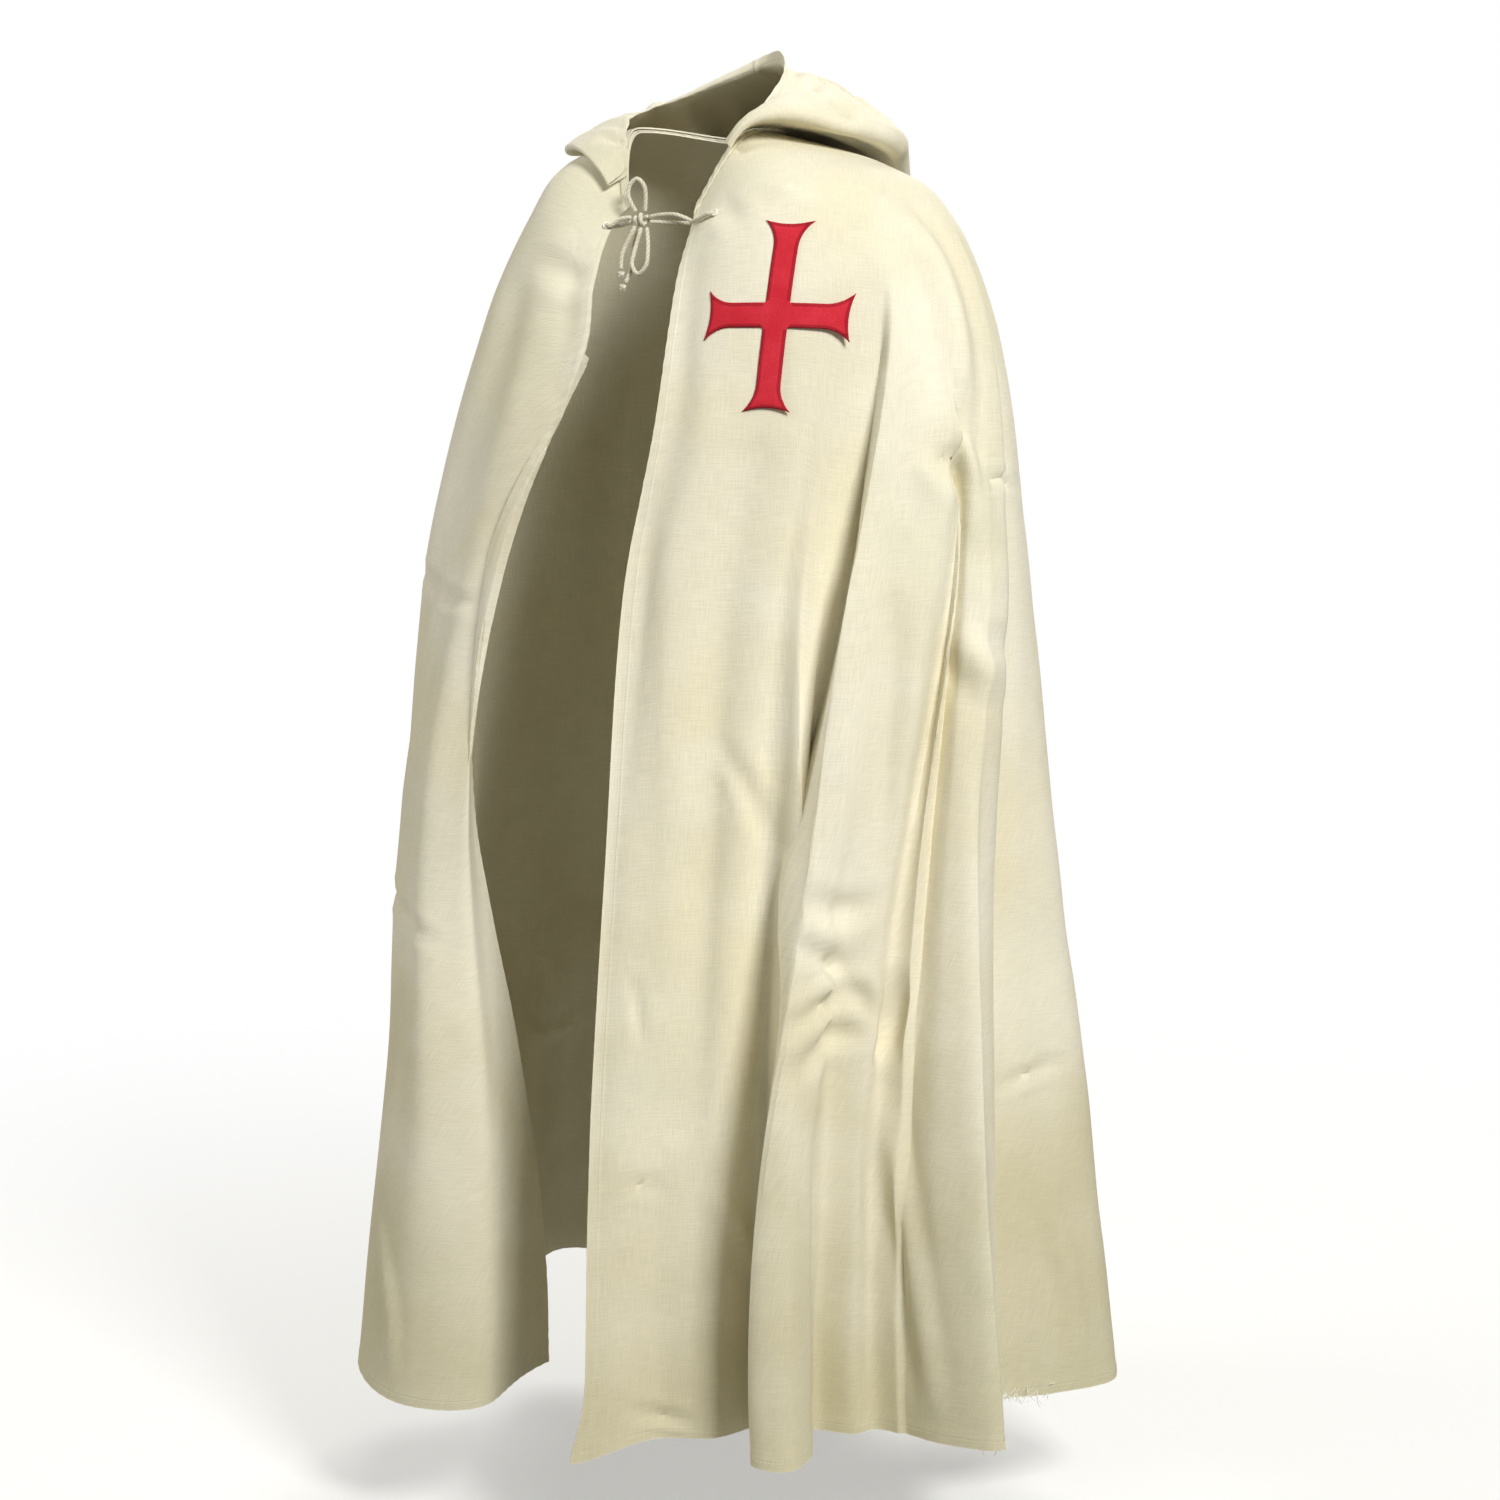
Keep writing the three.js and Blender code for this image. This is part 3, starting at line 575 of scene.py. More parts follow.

# Creases, as soft troughs (below 0) and ridges (above 0): from, by way of and to a place and a line on
# the cape, then the width and the height in millimetres. The first ones show in the photo.
creaseRows = [
    ((6.08, 6.4), (6.16, 7.5), (6.14, 8.9), 11, -4),
    ((6.25, 6.3), (6.35, 7.3), (6.36, 8.6), 9, -3),
    ((6.34, 7.2), (6.45, 8.3), (6.58, 9.3), 10, -4.2),
    ((6.56, 6.2), (6.5, 7.3), (6.54, 8.7), 9, -3.4),
    ((6.72, 6.3), (6.64, 7.5), (6.62, 9), 11, -4.2),
    ((6.72, 9.69), (6.6, 10), (6.45, 10.12), 10, -7),
    ((6.46, 6.6), (6.42, 7.6), (6.44, 8.6), 8, 2.4),
    ((6.17, 6.3), (6.26, 7.2), (6.26, 8.6), 8, 2.2),
    ((4.53, 9.12), (4.6, 9.56), (4.72, 10.5), 14, -9),
    ((4.5, 10), (4.66, 10.9), (4.86, 11.6), 12, 5),
    ((5.2, 10.81), (5.3, 11.56), (5.4, 13), 16, 6),
    ((4.65, 12.31), (4.67, 13.5), (4.7, 15.44), 5, -3),
    ((6.92, 14.5), (6.88, 14.88), (6.85, 15.6), 6, -3.5),
    ((6.45, 1.5), (6.55, 1.56), (6.67, 1.62), 6, -2.5),
    ((7.15, 1.4), (7.15, 1.75), (7.17, 2.2), 5, -2.5),
    ((7.83, 1.5), (7.88, 2.06), (7.9, 2.6), 6, -3),
    ((1.7, 1.9), (2.3, 2.3), (3.2, 2.6), 11, -2.6),
    ((1.85, 2.6), (2.5, 3.4), (3.1, 4.2), 13, 2.4),
    ((2.4, 1.4), (3.4, 1.3), (4.6, 1.3), 20, -3.5),
    ((4.2, 2.3), (5.6, 2), (7.4, 1.8), 26, 5),
    ((4.4, 3.3), (5.8, 2.9), (7.6, 2.8), 22, -5),
    ((4.6, 1), (5.2, 1.25), (5.9, 1.15), 16, -3),
    ((5.6, 3), (5.75, 3.5), (5.95, 3.9), 9, -2.5),
    ((7.2, 3), (7.28, 3.5), (7.45, 3.9), 8, 2.5),
    ((4.9, 6.9), (5.4, 7.1), (6, 7.2), 14, 4),
    ((5.1, 8.3), (5.6, 8.6), (6.1, 8.8), 12, -4),
    ((6.9, 7.2), (7.3, 7.4), (7.8, 7.3), 13, -4),
    ((6.9, 9.9), (7.3, 10.5), (7.8, 10.9), 12, 4),
    ((3.1, 6.8), (3.7, 7.9), (4.3, 8.6), 16, -3.5),
    ((3.3, 9), (4, 9.8), (4.7, 10), 14, 4),
    ((2.6, 8.2), (3.2, 9.6), (3.9, 10.8), 20, -3),
    ((5.6, 12.6), (6.2, 12.9), (7, 12.8), 12, -3),
    ((7.2, 15), (7.5, 15.3), (7.9, 15.4), 12, 3.5),
    ((3.4, 28.6), (4.6, 28.9), (5.8, 28.6), 26, -4.5),
    ((4.2, 29.8), (5.8, 29.9), (7.4, 30), 24, 4),
    ((5.1, 28.2), (5.16, 29.2), (5.15, 30.2), 7, -2.5),
    ((6.3, 28.4), (6.36, 29.4), (6.42, 30.2), 8, -2.5),
    ((2, 30.6), (2.6, 29.8), (3.3, 28.8), 14, -2.6),
    ((1.5, 31.2), (2.4, 31), (3.6, 30.9), 14, 2.4),
    ((7.4, 29.2), (7.6, 29.6), (7.85, 29.7), 10, 3),
    ((3.3, 17.2), (4.2, 17.6), (5.3, 17.4), 24, -5),
    ((4, 19), (5, 19.4), (6.3, 19.2), 26, 5),
    ((5.4, 20.3), (5.46, 21), (5.42, 21.9), 6, -3),
    ((6.7, 18.5), (6.75, 19.2), (6.72, 20.1), 7, -3),
    ((6.1, 22.4), (6.2, 23.1), (6.16, 24), 8, -3.5),
    ((4.3, 22.6), (5.4, 22.9), (6.6, 22.7), 24, -5),
    ((3.6, 24.4), (4.8, 24.8), (6.2, 24.6), 26, 5),
    ((7, 24.6), (7.1, 25.3), (7.05, 26), 7, -3),
    ((4.4, 26.2), (4.6, 27), (4.86, 27.8), 13, -6),
    ((5.7, 26.6), (6.4, 26.8), (7.3, 26.7), 20, -4.5),
]

# Slow unevenness of the cloth: the size of its waves and how far they stand out.
waves = [{"size": 260, "height": 5.0, "seed": 3.1}, {"size": 95, "height": 1.6, "seed": 8.4}]

# Long folds that overlap their neighbour. The trough lies on one side of the path, towards higher lines (1) or
# lower lines (-1). The wall is how far the trough takes to fall, the slope how far to come back, the rise the
# height of the ridge, and the lean how far it hangs over. A path has places, lines and the depths there.
pleatColumns = ("side", "wall", "slope", "rise", "lean", "path")
pleatRows = {
    "hand": (-1, 9, 76, 9, 17, [
        (3.7, 6.7, 0), (4.3, 6.9, 18), (5, 6.95, 40), (5.8, 6.65, 54), (6.6, 6, 52), (7.3, 5.5, 42),
        (8, 5.15, 28)]),
    "elbow": (1, 9, 34, 5, 15, [
        (4.2, 9, 0), (4.6, 9.7, 16), (5.2, 10, 24), (6, 10.2, 18), (6.8, 10.3, 10), (8, 10.3, 4)]),
    "side": (1, 9, 52, 6, 20, [
        (3.3, 13.3, 0), (4.2, 13.2, 20), (5.2, 13.2, 34), (6.3, 13.3, 36), (7.2, 13, 28), (8, 12.6, 18)]),
    "blade": (1, 10, 44, 5, 10, [
        (4, 16.3, 0), (5, 16.4, 14), (6.5, 16.5, 20), (8, 16.4, 12)]),
    "back": (-1, 9, 40, 6, 12, [
        (4.2, 19.1, 0), (5.2, 19, 15), (6.4, 18.8, 22), (8, 18.7, 13)]),
    "right": (1, 9, 42, 5, 10, [
        (4, 23.2, 0), (5.1, 23.4, 14), (6.5, 23.4, 20), (8, 23.3, 12)]),
    "arm": (-1, 10, 40, 4, 8, [
        (4.6, 27.2, 0), (5.6, 27, 10), (6.8, 26.9, 14), (8, 26.9, 8)]),
}
pleats = [dict(zip(pleatColumns, row)) for row in pleatRows.values()]
pleatGrid = (-0.1, -0.05, 0, 0.05, 0.1, 0.15, 0.2, 0.27)  # lines, in the trough's direction
pleatPull = 1.1  # lines over which the columns bend to follow a path
pleatShape = {"ridgeWidth": 18, "leanAt": 4, "leanWidth": 13}


def pleatPath(pleat, places):
    at, line, depth = (np.array(column, float) for column in zip(*pleat["path"]))
    order = np.interp(places, at, np.arange(len(at)))
    depths = np.clip(through(depth, order), 0, None)
    return through(line, order), np.where(places < at[0], 0, depths), line[len(line) // 2]


def pleatLines(places, lines):
    # Columns of the grid run along each path, so that its edge is crisp.
    middles = []
    extra = [lines]
    for pleat in pleats:
        path, _, middle = pleatPath(pleat, places)
        if lines.min() < middle < lines.max():
            middles.append((path, middle))
            extra.append(middle + pleat["side"] * np.array(pleatGrid))
    flat = np.unique(np.round(np.concatenate(extra), 4))
    flat = flat[np.concatenate([[True], np.diff(flat) > 0.012])]
    grid = np.tile(flat, (len(places), 1))
    for path, middle in middles:
        grid += (path[:, None] - middle) * np.exp(-((flat - middle) / pleatPull) ** 2)[None, :]
    return grid


def pleated(base, places, lines):
    height = np.zeros(base.shape[:2])
    sideways = np.zeros(base.shape[:2])
    across = arcs(base, 1)
    for pleat in pleats:
        path, depth, middle = pleatPath(pleat, places)
        if not lines.min() < middle < lines.max():
            continue
        here = np.array([np.interp(want, row, arc) for want, row, arc in zip(path, lines, across)])
        gap = (across - here[:, None]) * pleat["side"]
        into = np.clip(gap, 0, None)
        share = (depth / max(depth.max(), 1))[:, None]
        trough = -depth[:, None] * smooth(into, 0, pleat["wall"]) * np.exp(-(into / pleat["slope"]) ** 2)
        ridge = pleat["rise"] * share * np.exp(-(np.clip(-gap, 0, None) / pleatShape["ridgeWidth"]) ** 2)
        height += trough + ridge * np.exp(-(into / (pleat["wall"] / 2)) ** 2)
        leaning = np.exp(-((gap + pleatShape["leanAt"]) / pleatShape["leanWidth"]) ** 2)
        sideways += pleat["side"] * pleat["lean"] * share * leaning
    return height, sideways


def curved(start, via, end):
    t = np.linspace(0, 1, 14)[:, None]
    start, via, end = (np.array(p, float) for p in (start, via, end))
    middle = 2 * via - (start + end) / 2
    return (1 - t) ** 2 * start + 2 * t * (1 - t) * middle + t * t * end


def distanceTo(points, route):
    best = np.full(len(points), 1e9)
    share = np.zeros(len(points))
    steps = len(route) - 1
    for i, (a, b) in enumerate(zip(route[:-1], route[1:])):
        along = b - a
        t = np.clip(((points - a) @ along) / (along @ along), 0, 1)
        gap = np.linalg.norm(points - a - t[:, None] * along, axis=1)
        closer = gap < best
        best[closer] = gap[closer]
        share[closer] = (i + t[closer]) / steps
    return best, share


def creased(points, rows, surface):
    height = np.zeros(len(points))
    for start, via, end, width, size in rows:
        spots = curved(start, via, end)
        route = surface(spots[:, 0], spots[:, 1])
        low = route.min(0) - 4 * width
        high = route.max(0) + 4 * width
        near = np.all((points > low) & (points < high), axis=1)
        if not near.any():
            continue
        gap, share = distanceTo(points[near], route)
        q = gap / width
        # A trough has a soft rim on each side, and every crease fades towards its ends.
        form = np.exp(-q * q) - 0.3 * np.exp(-((q - 1.9) / 0.8) ** 2)
        fade = np.sin(math.pi * np.clip(share * 0.94 + 0.03, 0, 1)) ** 0.7
        height[near] += cloth["creaseGain"] * size * form * fade
    return height


def waved(points):
    height = np.zeros(len(points))
    for wave in waves:
        offset = Vector((wave["seed"], 1.7 * wave["seed"], 0.6 * wave["seed"]))
        values = [noise.noise(Vector(p) / wave["size"] + offset) for p in points.tolist()]
        height += wave["height"] * np.array(values)
    return height


def arcs(grid, axis):
    lengths = np.linalg.norm(np.diff(grid, axis=axis), axis=2)
    start = np.zeros_like(np.take(lengths, [0], axis=axis))
    return np.cumsum(np.concatenate([start, lengths], axis=axis), axis=axis)


def measured(surface, places, lines):
    # The surface on a grid, its normals, and the distances along it across and down.
    base = surface(places[:, None], lines)
    return base, normalAt(surface, places[:, None], lines), arcs(base, 1), arcs(base, 0)


def makeShell(piece, thickness, offset=-1):
    shell = piece.modifiers.new("thickness", "SOLIDIFY")
    shell.thickness = thickness * mm
    shell.offset = offset
    bpy.ops.object.modifier_apply(modifier=shell.name)


def clothPiece(name, outer, across, down, edge, run, thickness, offset=-1):
    rows, columns = outer.shape[:2]
    bpy.ops.object.select_all(action="DESELECT")
    bpy.ops.mesh.primitive_grid_add(x_subdivisions=columns - 1, y_subdivisions=rows - 1, size=1)
    piece = bpy.context.object
    piece.name = "cloth_" + name
    mesh = piece.data
    mesh.vertices.foreach_set("co", (outer.reshape(-1, 3) * mm).astype(np.float32).ravel())
    layFlat(piece, across, down)
    keepValues(piece, edge=edge, run=run)
    mesh.materials.append(canvas)
    mesh.update()
    makeShell(piece, thickness, offset)
    bpy.ops.object.shade_smooth_by_angle(angle=math.radians(50))
    return settle(piece, name)


# The body in two halves. Rows are closer at the hem and columns at the front edge, where the cloth is turned.
body = {
    "rowsPerRing": (7, 12, 13, 18, 32, 34, 34, 34), "hemRows": (1.5, 3.5, 6, 8, 9, 10, 10.8, 11.6, 13, 17),
    "flick": (-11, -8, -12), "flickReach": 34,
}
bodyLeft = {"lines": (0, backLine), "columnsPerLine": 9, "flat": (1.45, 1.42)}
bodyRight = {"lines": (backLine, lastLine), "columnsPerLine": 14, "flat": (1.35, 1.42)}


def bodyPlaces():
    places = [0.0]
    for ring, count in enumerate(body["rowsPerRing"]):
        places.extend(ring + (step + 1) / count for step in range(count))
    lastDrop = ringTable["side"][-2] - ringTable["side"][-1]
    places.extend(lastPlace - distance / lastDrop for distance in body["hemRows"])
    return np.sort(places)[::-1]


def addBody(name, settings):
    first, last = settings["lines"]
    isLeft = first == 0
    lines = np.linspace(first, last, (last - first) * settings["columnsPerLine"] + 1)
    near = lines[abs(lines - (first if isLeft else last)) < 1.01]
    extra = (near[:-1] + near[1:]) / 2
    places = bodyPlaces()
    lines = pleatLines(places, np.sort(np.concatenate([lines, extra, (extra + near[1:]) / 2])))
    base, normal, across, down = measured(capePoint, places, lines)
    fromFront, fromBack = (across, across[:, -1:] - across)[::1 if isLeft else -1]
    fromHem = np.minimum(fromFront, down)  # the front edge is hemmed too
    edge = np.minimum(fromHem, fromBack * 1.3)
    run = np.where(fromFront < down, down, across)
    turned = 1 - smooth(fromHem, cloth["turn"], cloth["turn"] + cloth["turnEdge"])
    puckered = np.exp(-(fromHem / cloth["puckerReach"]) ** 2) * np.sin(run * 2 * math.pi / cloth["puckerPitch"])
    seam = -np.exp(-(fromBack / cloth["seamWidth"]) ** 2)
    points = base.reshape(-1, 3)
    # The cloth stays on the form at the neck and where the cross is sewn.
    height = (creased(points, creaseRows, capePoint) + waved(points)) * (1 - 0.85 * crossCalm(points))
    folds, sideways = pleated(base, places, lines)
    height = height.reshape(base.shape[:2]) * smooth(places, 0.6, 1.6)[:, None] + folds + seam
    height += cloth["turnRise"] * turned + cloth["pucker"] * puckered
    outer = base + normal * height[..., None] + unit(np.gradient(base, axis=1)) * sideways[..., None]
    skin = (places, lines, outer, normal)
    if isLeft:
        corner = np.exp(-(np.hypot(fromFront, down) / body["flickReach"]) ** 2)
        outer = outer + corner[..., None] * np.array(body["flick"])
    return clothPiece(name, outer, across, down, edge, run, cloth["thickness"]), skin


# The cross is drawn flat and laid on the left breast.
cross = {
    "middle": (184, -144, -163), "across": (0.953, 0.304, 0), "up": (0, 0.215, 0.976), "place": 3.6,
    "line": 2.7, "height": 192, "width": 150, "armHalf": 12.5, "endHalf": 25, "flare": 29, "abrupt": 2.3,
    "hollow": 4, "crown": 1.3, "lift": 0.5, "thickness": 1.1, "step": 2.4, "calm": (95, 115), "calmDepth": 60,
}
crossMiddle = np.array(cross["middle"], float)
crossAcross = unit(cross["across"])
crossUp = unit(cross["up"])
crossFacing = np.cross(crossAcross, crossUp)


def crossCalm(points):
    offset = points - crossMiddle
    reach = np.hypot(offset @ crossAcross / cross["calm"][0], offset @ crossUp / cross["calm"][1])
    return (1 - smooth(reach, 0.75, 1.25)) * (np.abs(offset @ crossFacing) < cross["calmDepth"])


def landing(targets, step=0.01):
    # Where each target meets the cape along the cross's own facing.
    place = np.full(len(targets), cross["place"])
    line = np.full(len(targets), cross["line"])
    for _ in range(24):
        point = capePoint(place, line)
        byPlace = (capePoint(place + step, line) - point) / step
        byLine = (capePoint(place, line + step) - point) / step
        slopes = np.stack([byPlace, byLine, np.broadcast_to(-crossFacing, point.shape)], -1)
        move = np.linalg.solve(slopes, (targets - point)[..., None])[..., 0]
        place = place + np.clip(move[:, 0], -0.25, 0.25)
        line = line + np.clip(move[:, 1], -0.25, 0.25)
    return place, line


def armWidth(outs, half):
    reach = np.clip((half - outs) / cross["flare"], 0, 1)
    return cross["armHalf"] + (cross["endHalf"] - cross["armHalf"]) * (1 - reach) ** cross["abrupt"]


def armGrid(half, columns):
    outs = np.linspace(cross["armHalf"], half, int((half - cross["armHalf"]) / cross["step"]) + 2)
    shares = np.linspace(-1, 1, columns)
    hollow = cross["hollow"] * smooth(outs, half - 14, half)[:, None] * (1 - shares ** 2)[None, :]
    return outs[:, None] - hollow, armWidth(outs, half)[:, None] * shares[None, :]


def addCross():
    columns = 2 * int(cross["armHalf"] / cross["step"]) + 5
    middle = np.linspace(-cross["armHalf"], cross["armHalf"], columns)
    grids = [np.stack(np.meshgrid(middle, middle, indexing="ij"), -1)]
    for half, (c, s) in zip((cross["width"] / 2, cross["height"] / 2) * 2, ((1, 0), (0, 1), (-1, 0), (0, -1))):
        out, side = armGrid(half, columns)
        grids.append(np.stack([out * c - side * s, out * s + side * c], -1))
    cells = [np.stack([g[:-1, :-1], g[1:, :-1], g[1:, 1:], g[:-1, 1:]], 2).reshape(-1, 2) for g in grids]
    cells = np.concatenate(cells)
    # The arms and the middle share the points where they meet.
    _, firsts, index = np.unique(np.round(cells, 2), axis=0, return_index=True, return_inverse=True)
    flat = cells[firsts]
    place, line = landing(crossMiddle + flat[:, :1] * crossAcross + flat[:, 1:] * crossUp)
    # Distance from the edge and the place along it, for the satin stitch and the soft turned rim.
    x, y = np.abs(flat.T)
    outward = np.maximum(x, y)
    sideways = np.minimum(x, y)
    half = np.where(x >= y, cross["width"] / 2, cross["height"] / 2)
    width = armWidth(outward, half)
    end = half - cross["hollow"] * (1 - (sideways / width) ** 2)
    edge = np.where(outward > cross["armHalf"], np.minimum(width - sideways, end - outward), 9)
    run = np.where(end - outward < width - sideways, sideways, outward)
    crown = cross["crown"] * np.sqrt(np.clip(1 - (1 - np.clip(edge / 2.2, 0.06, 1)) ** 2, 0, 1))
    lift = cross["lift"] + crown - 0.35 * np.exp(-((edge - 4.2) / 0.9) ** 2)
    points = capePoint(place, line) + normalAt(capePoint, place, line) * lift[:, None]
    piece = meshFrom("wool_cross", points, index.reshape(-1, 4).tolist(), wool)
    keepValues(piece, edge=edge, run=run)
    bpy.ops.object.select_all(action="DESELECT")
    piece.select_set(True)
    bpy.context.view_layer.objects.active = piece
    makeShell(piece, cross["thickness"])
    return settle(piece, "cross")


# The neck edge is turned out and stitched down as a narrow band.
band = {"depth": 0.55, "rows": 14, "columnsPerLine": 16, "lift": 0.3, "thickness": 1.6}


def addBand():
    places = np.linspace(band["depth"], 0, band["rows"])
    lines = np.linspace(0, lastLine, lastLine * band["columnsPerLine"] + 1)
    base, normal, across, down = measured(capePoint, places, lines)
    fromEdge = np.minimum(down, down[-1:] - down)
    edge = np.where(fromEdge < 4, fromEdge * 9 / 2.4, 9 + (fromEdge - 4))
    rounded = np.sqrt(np.clip(1 - (1 - np.clip(fromEdge / 1.6, 0.05, 1)) ** 2, 0, 1))
    ripple = 0.35 * np.sin(across * 2 * math.pi / 13)
    lift = band["lift"] + band["thickness"] * (0.35 + 0.65 * rounded) + ripple * rounded
    return clothPiece("neck_band", base + normal * lift[..., None], across, down, edge, across, 1.0)

# The hood lies back on the shoulders. Each section starts at the neck seam, follows the body out to the tip,
# turns over by the roll and comes back to the free edge round the neck.
hoodColumns = ("angle", "tip", "lift", "roll", "puff", "edgeReach", "edgeHeight")
hoodRows = [
    (52, 0.85, 5, 6, 1, 80, 8),
    (62, 1.05, 17, 8, 3, 78, 28),
    (74, 1.36, 20, 12, 9, 78, 38),
    (88, 1.62, 15, 17, 15, 79, 54),
    (103, 1.82, 12, 22, 21, 80, 74),
    (118, 1.95, 11, 25, 25, 79, 88),
    (134, 2.12, 14, 27, 30, 77, 98),
    (150, 2.6, 19, 27, 36, 78, 103),
    (166, 3.5, 28, 25, 42, 82, 101),
    (180, 3.95, 24, 28, 48, 84, 95),
    (195, 3.75, 24, 26, 44, 83, 86),
    (212, 3.35, 24, 24, 34, 80, 75),
    (229, 2.75, 20, 18, 24, 78, 63),
    (246, 2.3, 13, 13, 17, 78, 53),
    (263, 2.0, 8, 10, 12, 80, 45),
    (280, 1.95, 5, 8, 9, 82, 38),
    (297, 1.6, 4, 7, 6, 84, 30),
    (311, 1.25, 3, 6, 4, 86, 16),
    (322, 0.92, 3, 5, 1, 88, -14),
]
hoodTable = dict(zip(hoodColumns, zip(*hoodRows)))
hood = {
    "seat": 4.2, "under": 0.42, "over": 0.54, "neckPlace": 0.12, "thickness": 1.6, "rows": 90,
    "edgeRows": (0.004, 0.012, 0.02, 0.03, 0.038), "columnsPerSection": 14, "flat": (0.38, 0.42),
}

# Creases of the hood, in share along a section and section: from, via, to, width, height.
hoodCreases = [
    ((0.5, 3), (0.62, 3.6), (0.8, 4.4), 9, -4),
    ((0.56, 4.6), (0.68, 5.4), (0.82, 6), 10, -4.5),
    ((0.6, 6.4), (0.72, 7), (0.86, 7.2), 12, -5),
    ((0.52, 7.4), (0.6, 8.2), (0.72, 8.8), 13, -6),
    ((0.58, 9.6), (0.66, 10.4), (0.8, 10.8), 12, -5.5),
    ((0.5, 11), (0.62, 11.4), (0.78, 12.2), 10, -4),
    ((0.6, 13), (0.72, 13.6), (0.88, 14.4), 8, -3.5),
    ((0.62, 15.2), (0.76, 15.8), (0.9, 16.2), 7, -3),
    ((0.66, 16.4), (0.8, 16.9), (0.94, 17.1), 6, -3),
    ((0.62, 4), (0.74, 4.8), (0.88, 5.4), 8, 3),
    ((0.66, 7.8), (0.78, 8.4), (0.9, 8.6), 9, 3.5),
    ((0.62, 12.2), (0.74, 12.8), (0.86, 13.4), 8, 3),
    ((0.3, 3.6), (0.34, 5), (0.38, 6.2), 9, 3),
    ((0.84, 3), (0.74, 4.8), (0.66, 6.8), 10, -3),
]


def hoodPoint(share, section):
    share, section = np.broadcast_arrays(np.asarray(share, float), np.asarray(section, float))
    row = {name: through(column, section) for name, column in hoodTable.items()}

    def onForm(place, height):
        return formPoint(place, row["angle"]) + normalAt(formPoint, place, row["angle"]) * height[..., None]

    def lifted(out):
        return hood["seat"] + row["lift"] * np.clip(out, 0, None) ** 1.5

    near = hood["neckPlace"]
    outUnder = share / hood["under"]
    under = onForm(near + (row["tip"] - near) * outUnder, lifted(outUnder))
    tipHeight = hood["seat"] + row["lift"]
    turn = math.pi * (share - hood["under"]) / (hood["over"] - hood["under"])
    beyond = unit(onForm(row["tip"] + 0.05, tipHeight) - onForm(row["tip"], tipHeight))
    rolled = onForm(row["tip"], tipHeight + row["roll"] / 2 * (1 - np.cos(turn)))
    rolled = rolled + beyond * (row["roll"] / 2 * np.sin(turn))[..., None]
    back = np.clip((share - hood["over"]) / (1 - hood["over"]), 0, 1.05)
    out = 1 - back
    height = lifted(out) + row["roll"] + row["puff"] * np.sin(math.pi * out)
    over = onForm(near + (row["tip"] - near) * out, height)
    angle = np.radians(row["angle"])
    reach = row["edgeReach"]
    free = np.stack([reach * np.sin(angle), -reach * np.cos(angle), row["edgeHeight"]], -1)
    over = over + (free - over) * (back ** 2.4)[..., None]
    first = (share <= hood["under"])[..., None]
    second = (share < hood["over"])[..., None]
    return np.where(first, under, np.where(second, rolled, over))


def addHood(name, first, last):
    shares = np.concatenate([np.linspace(1, 0, hood["rows"]), 1 - np.array(hood["edgeRows"])])
    shares = np.sort(shares)[::-1]
    sections = np.linspace(first, last, (last - first) * hood["columnsPerSection"] + 1)
    base, normal, across, down = measured(hoodPoint, shares, sections)
    fromSeam = across[:, -1:] - across if first == 0 else across
    edge = np.minimum(down, fromSeam * 1.3)
    turned = 1 - smooth(down, cloth["turn"], cloth["turn"] + cloth["turnEdge"])
    points = base.reshape(-1, 3)
    height = -creased(points, hoodCreases, hoodPoint) - 0.6 * waved(points)
    height = height.reshape(base.shape[:2]) * smooth(shares, hood["neckPlace"], 0.4)[:, None]
    height -= 0.7 * turned * (1 + 0.3 * np.sin(across * 2 * math.pi / cloth["puckerPitch"]))
    height += 0.9 * np.exp(-(fromSeam / 2.5) ** 2)
    middle = base + normal * height[..., None]
    piece = clothPiece(name, middle, across, down, edge, across, hood["thickness"], 0)


# The hem is worn where it turns round the side: short white threads stand out of its edge.
fray = {
    "count": 150, "places": (7.93, 8.0), "lines": (12.5, 14.9), "reach": (4, 12), "radius": 0.35, "steps": 5,
    "sides": 4, "seed": 7,
}


def addFray(places, lines, outer, normals):
    chance = np.random.default_rng(fray["seed"])
    points = []
    faces = []
    for _ in range(fray["count"]):
        place = fray["places"][0] + (fray["places"][1] - fray["places"][0]) * chance.random() ** 0.45
        line = fray["lines"][0] + (fray["lines"][1] - fray["lines"][0]) * chance.random()
        # A thread grows from the nearest point of the finished cloth's grid.
        row = int(np.argmin(abs(places - place)))
        at = (row, int(np.argmin(abs(lines[row] - line))))
        heading = unit(chance.normal(size=3) * (0.8, 0.8, 0.5) + normals[at] * 0.5 + np.array((0, 0, -0.5)))
        curl = np.cross(heading, chance.normal(size=3))
        reach = chance.uniform(*fray["reach"])
        sideOne = unit(np.cross(heading, curl))
        sideTwo = unit(np.cross(heading, sideOne))
        faces.extend(tubeFaces(fray["steps"], fray["sides"], len(points)))
        for t in np.linspace(0, 1, fray["steps"]):
            centre = outer[at] + heading * reach * t + curl * reach * 0.35 * t * t
            points.extend(ringOf(centre, sideOne, sideTwo, fray["radius"], fray["sides"]))
    return settle(meshFrom("loose_threads", points, faces, thread))


crossPiece = addCross()
bandPiece = addBand()
print("cross and band made")
leftPiece, leftSkin = addBody("body_left", bodyLeft)
rightPiece = addBody("body_right", bodyRight)[0]
frayPiece = addFray(*leftSkin)
leftEyeletPiece = addEyelet("eyelet_left", leftEyelet)
rightEyeletPiece = addEyelet("eyelet_right", rightEyelet)
print("body made")
addHood("hood_left", 0, 9)
addHood("hood_right", 9, 18)
print("hood made")

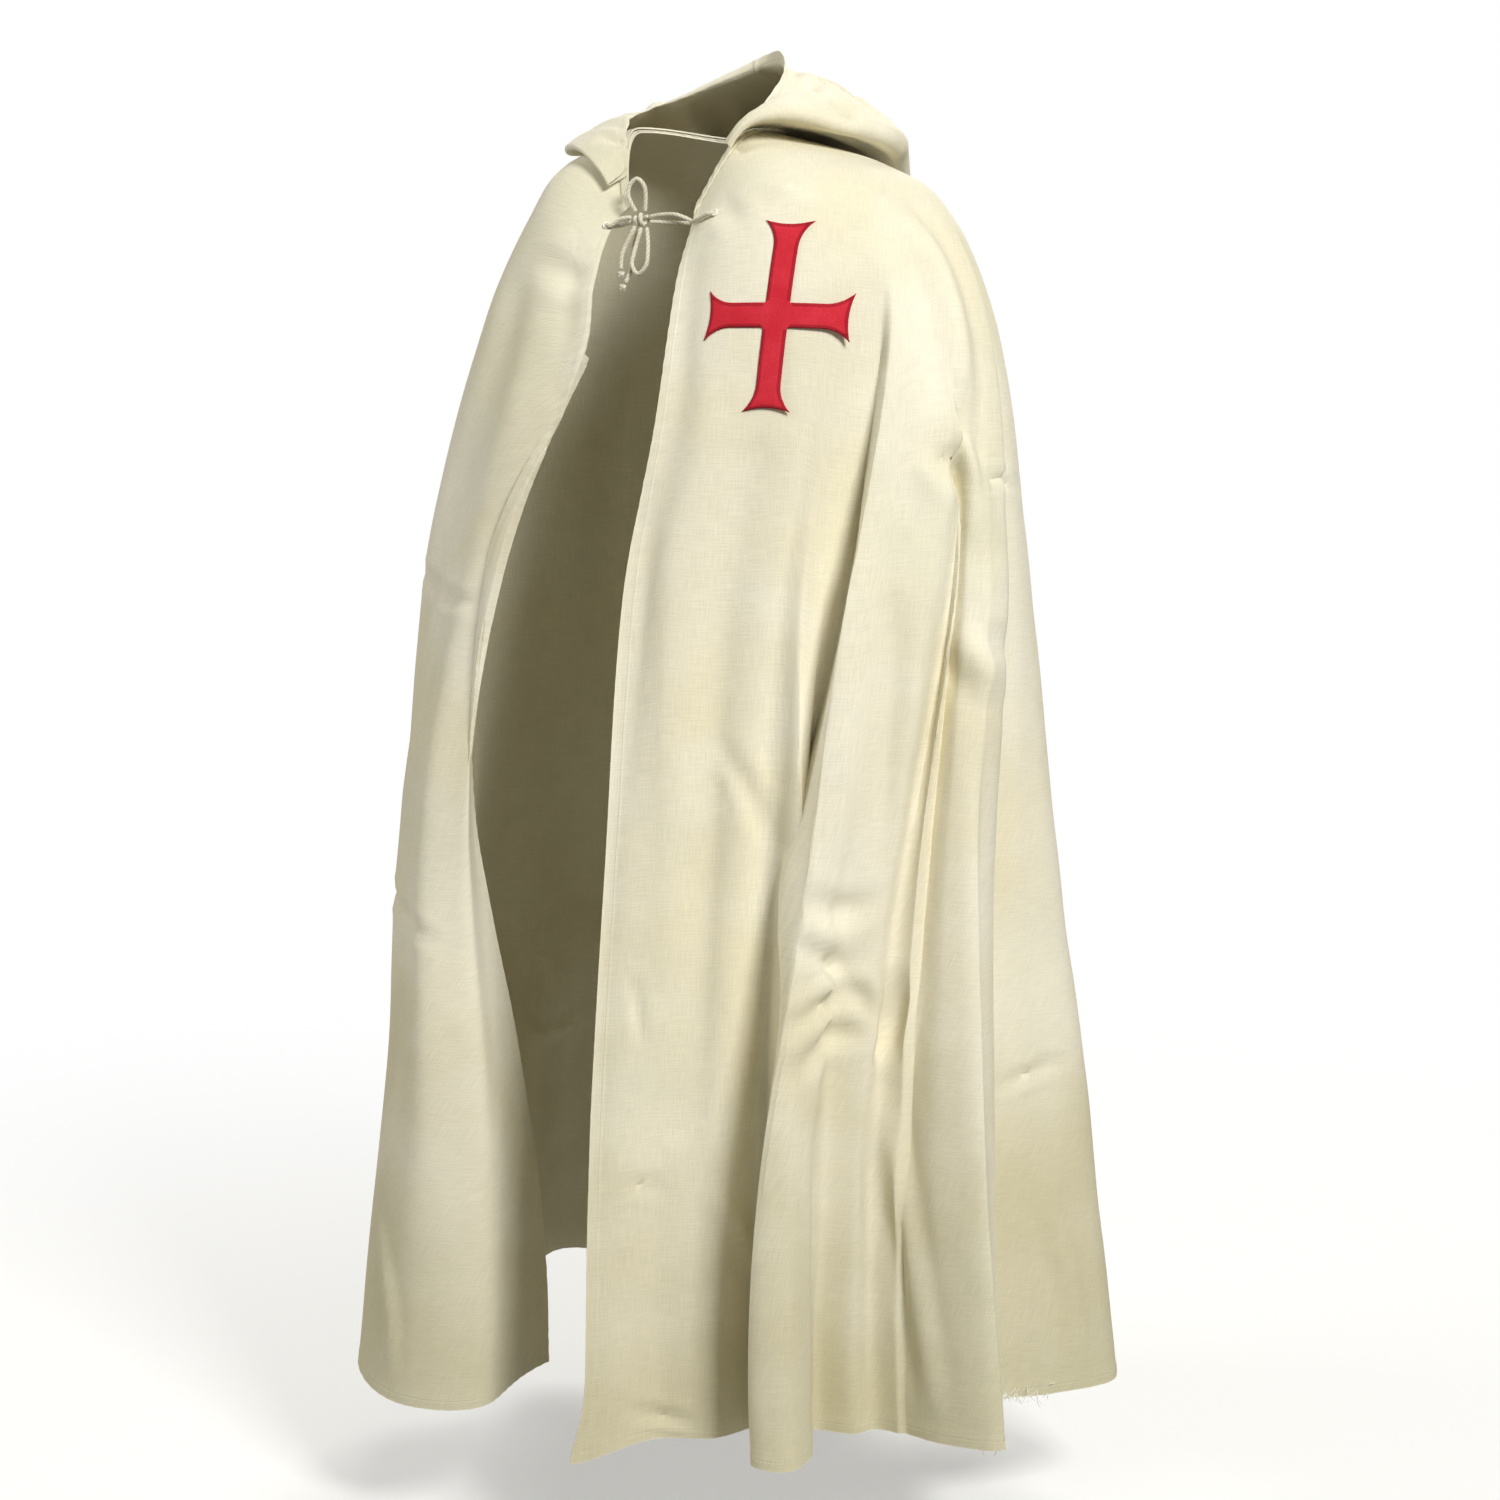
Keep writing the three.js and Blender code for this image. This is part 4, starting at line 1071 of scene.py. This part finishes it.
# A pale floor well below the hem, and soft studio lights.
stage = {"floor": -1.42, "size": 40, "colour": "#F4F3EF", "fadeFrom": 0.3, "fadeTo": 2.4, "least": 0.45}
lamps = {
    "key": {"at": (3.2, -1.6, 2.0), "size": 1.1, "power": 177},
    "fill": {"at": (-3.0, -2.3, 1.8), "size": 1.8, "power": 82},
    "back": {"at": (-1.4, 3.3, 2.2), "size": 1.8, "power": 120},
}
lampAim = (0, 0, -0.6)
# The room's own light is dim, and the camera sees it as white.
room = {"light": 0.18, "seen": 1.0, "tint": "#F4F0CF"}


def roomStrength(add):
    seen = add("LightPath", output="Is Camera Ray")
    return add("MapRange", {0: seen, 3: room["light"], 4: room["seen"]})


def addStage():
    bpy.ops.object.select_all(action="DESELECT")
    bpy.ops.mesh.primitive_plane_add(size=stage["size"], location=(0, 0, stage["floor"]))
    floor = bpy.context.object
    floor.name = "floor"
    material, add, shader, place = newMaterial("pale floor")
    setInputs(shader, {"Base Color": linear(stage["colour"]), "Roughness": 0.9})
    # Away from the cape the floor fades into the room.
    away = add("VectorMath", (place,), "Value", operation="LENGTH")
    fade = add("MapRange", (away, stage["fadeFrom"], stage["fadeTo"], stage["least"], 1), **soft)
    white = add("Emission", {"Color": linear("#FFFFFF"), "Strength": roomStrength(add)})
    ends = add("MixShader", (fade, shader.outputs[0], white))
    setInputs(material.node_tree.nodes["Material Output"], {"Surface": ends})
    floor.data.materials.append(material)


def addLights():
    for name, lamp in lamps.items():
        bpy.ops.object.light_add(type="AREA", location=lamp["at"])
        light = bpy.context.object
        light.name = name
        light.data.energy = lamp["power"]
        light.data.size = lamp["size"]
        light.rotation_euler = (Vector(lamp["at"]) - Vector(lampAim)).to_track_quat("Z", "Y").to_euler()
    world = bpy.data.worlds.new("studio")
    world.use_nodes = True
    add = partial(addNode, world.node_tree)
    seen = add("LightPath", output="Is Camera Ray")
    colour = layered(add, linear(room["tint"]), [(seen, "#FFFFFF")])
    setInputs(world.node_tree.nodes["Background"], {"Color": colour, "Strength": roomStrength(add)})
    bpy.context.scene.world = world


addStage()
addLights()
bpy.context.scene.view_settings.view_transform = "Standard"
print("stage and lights made")
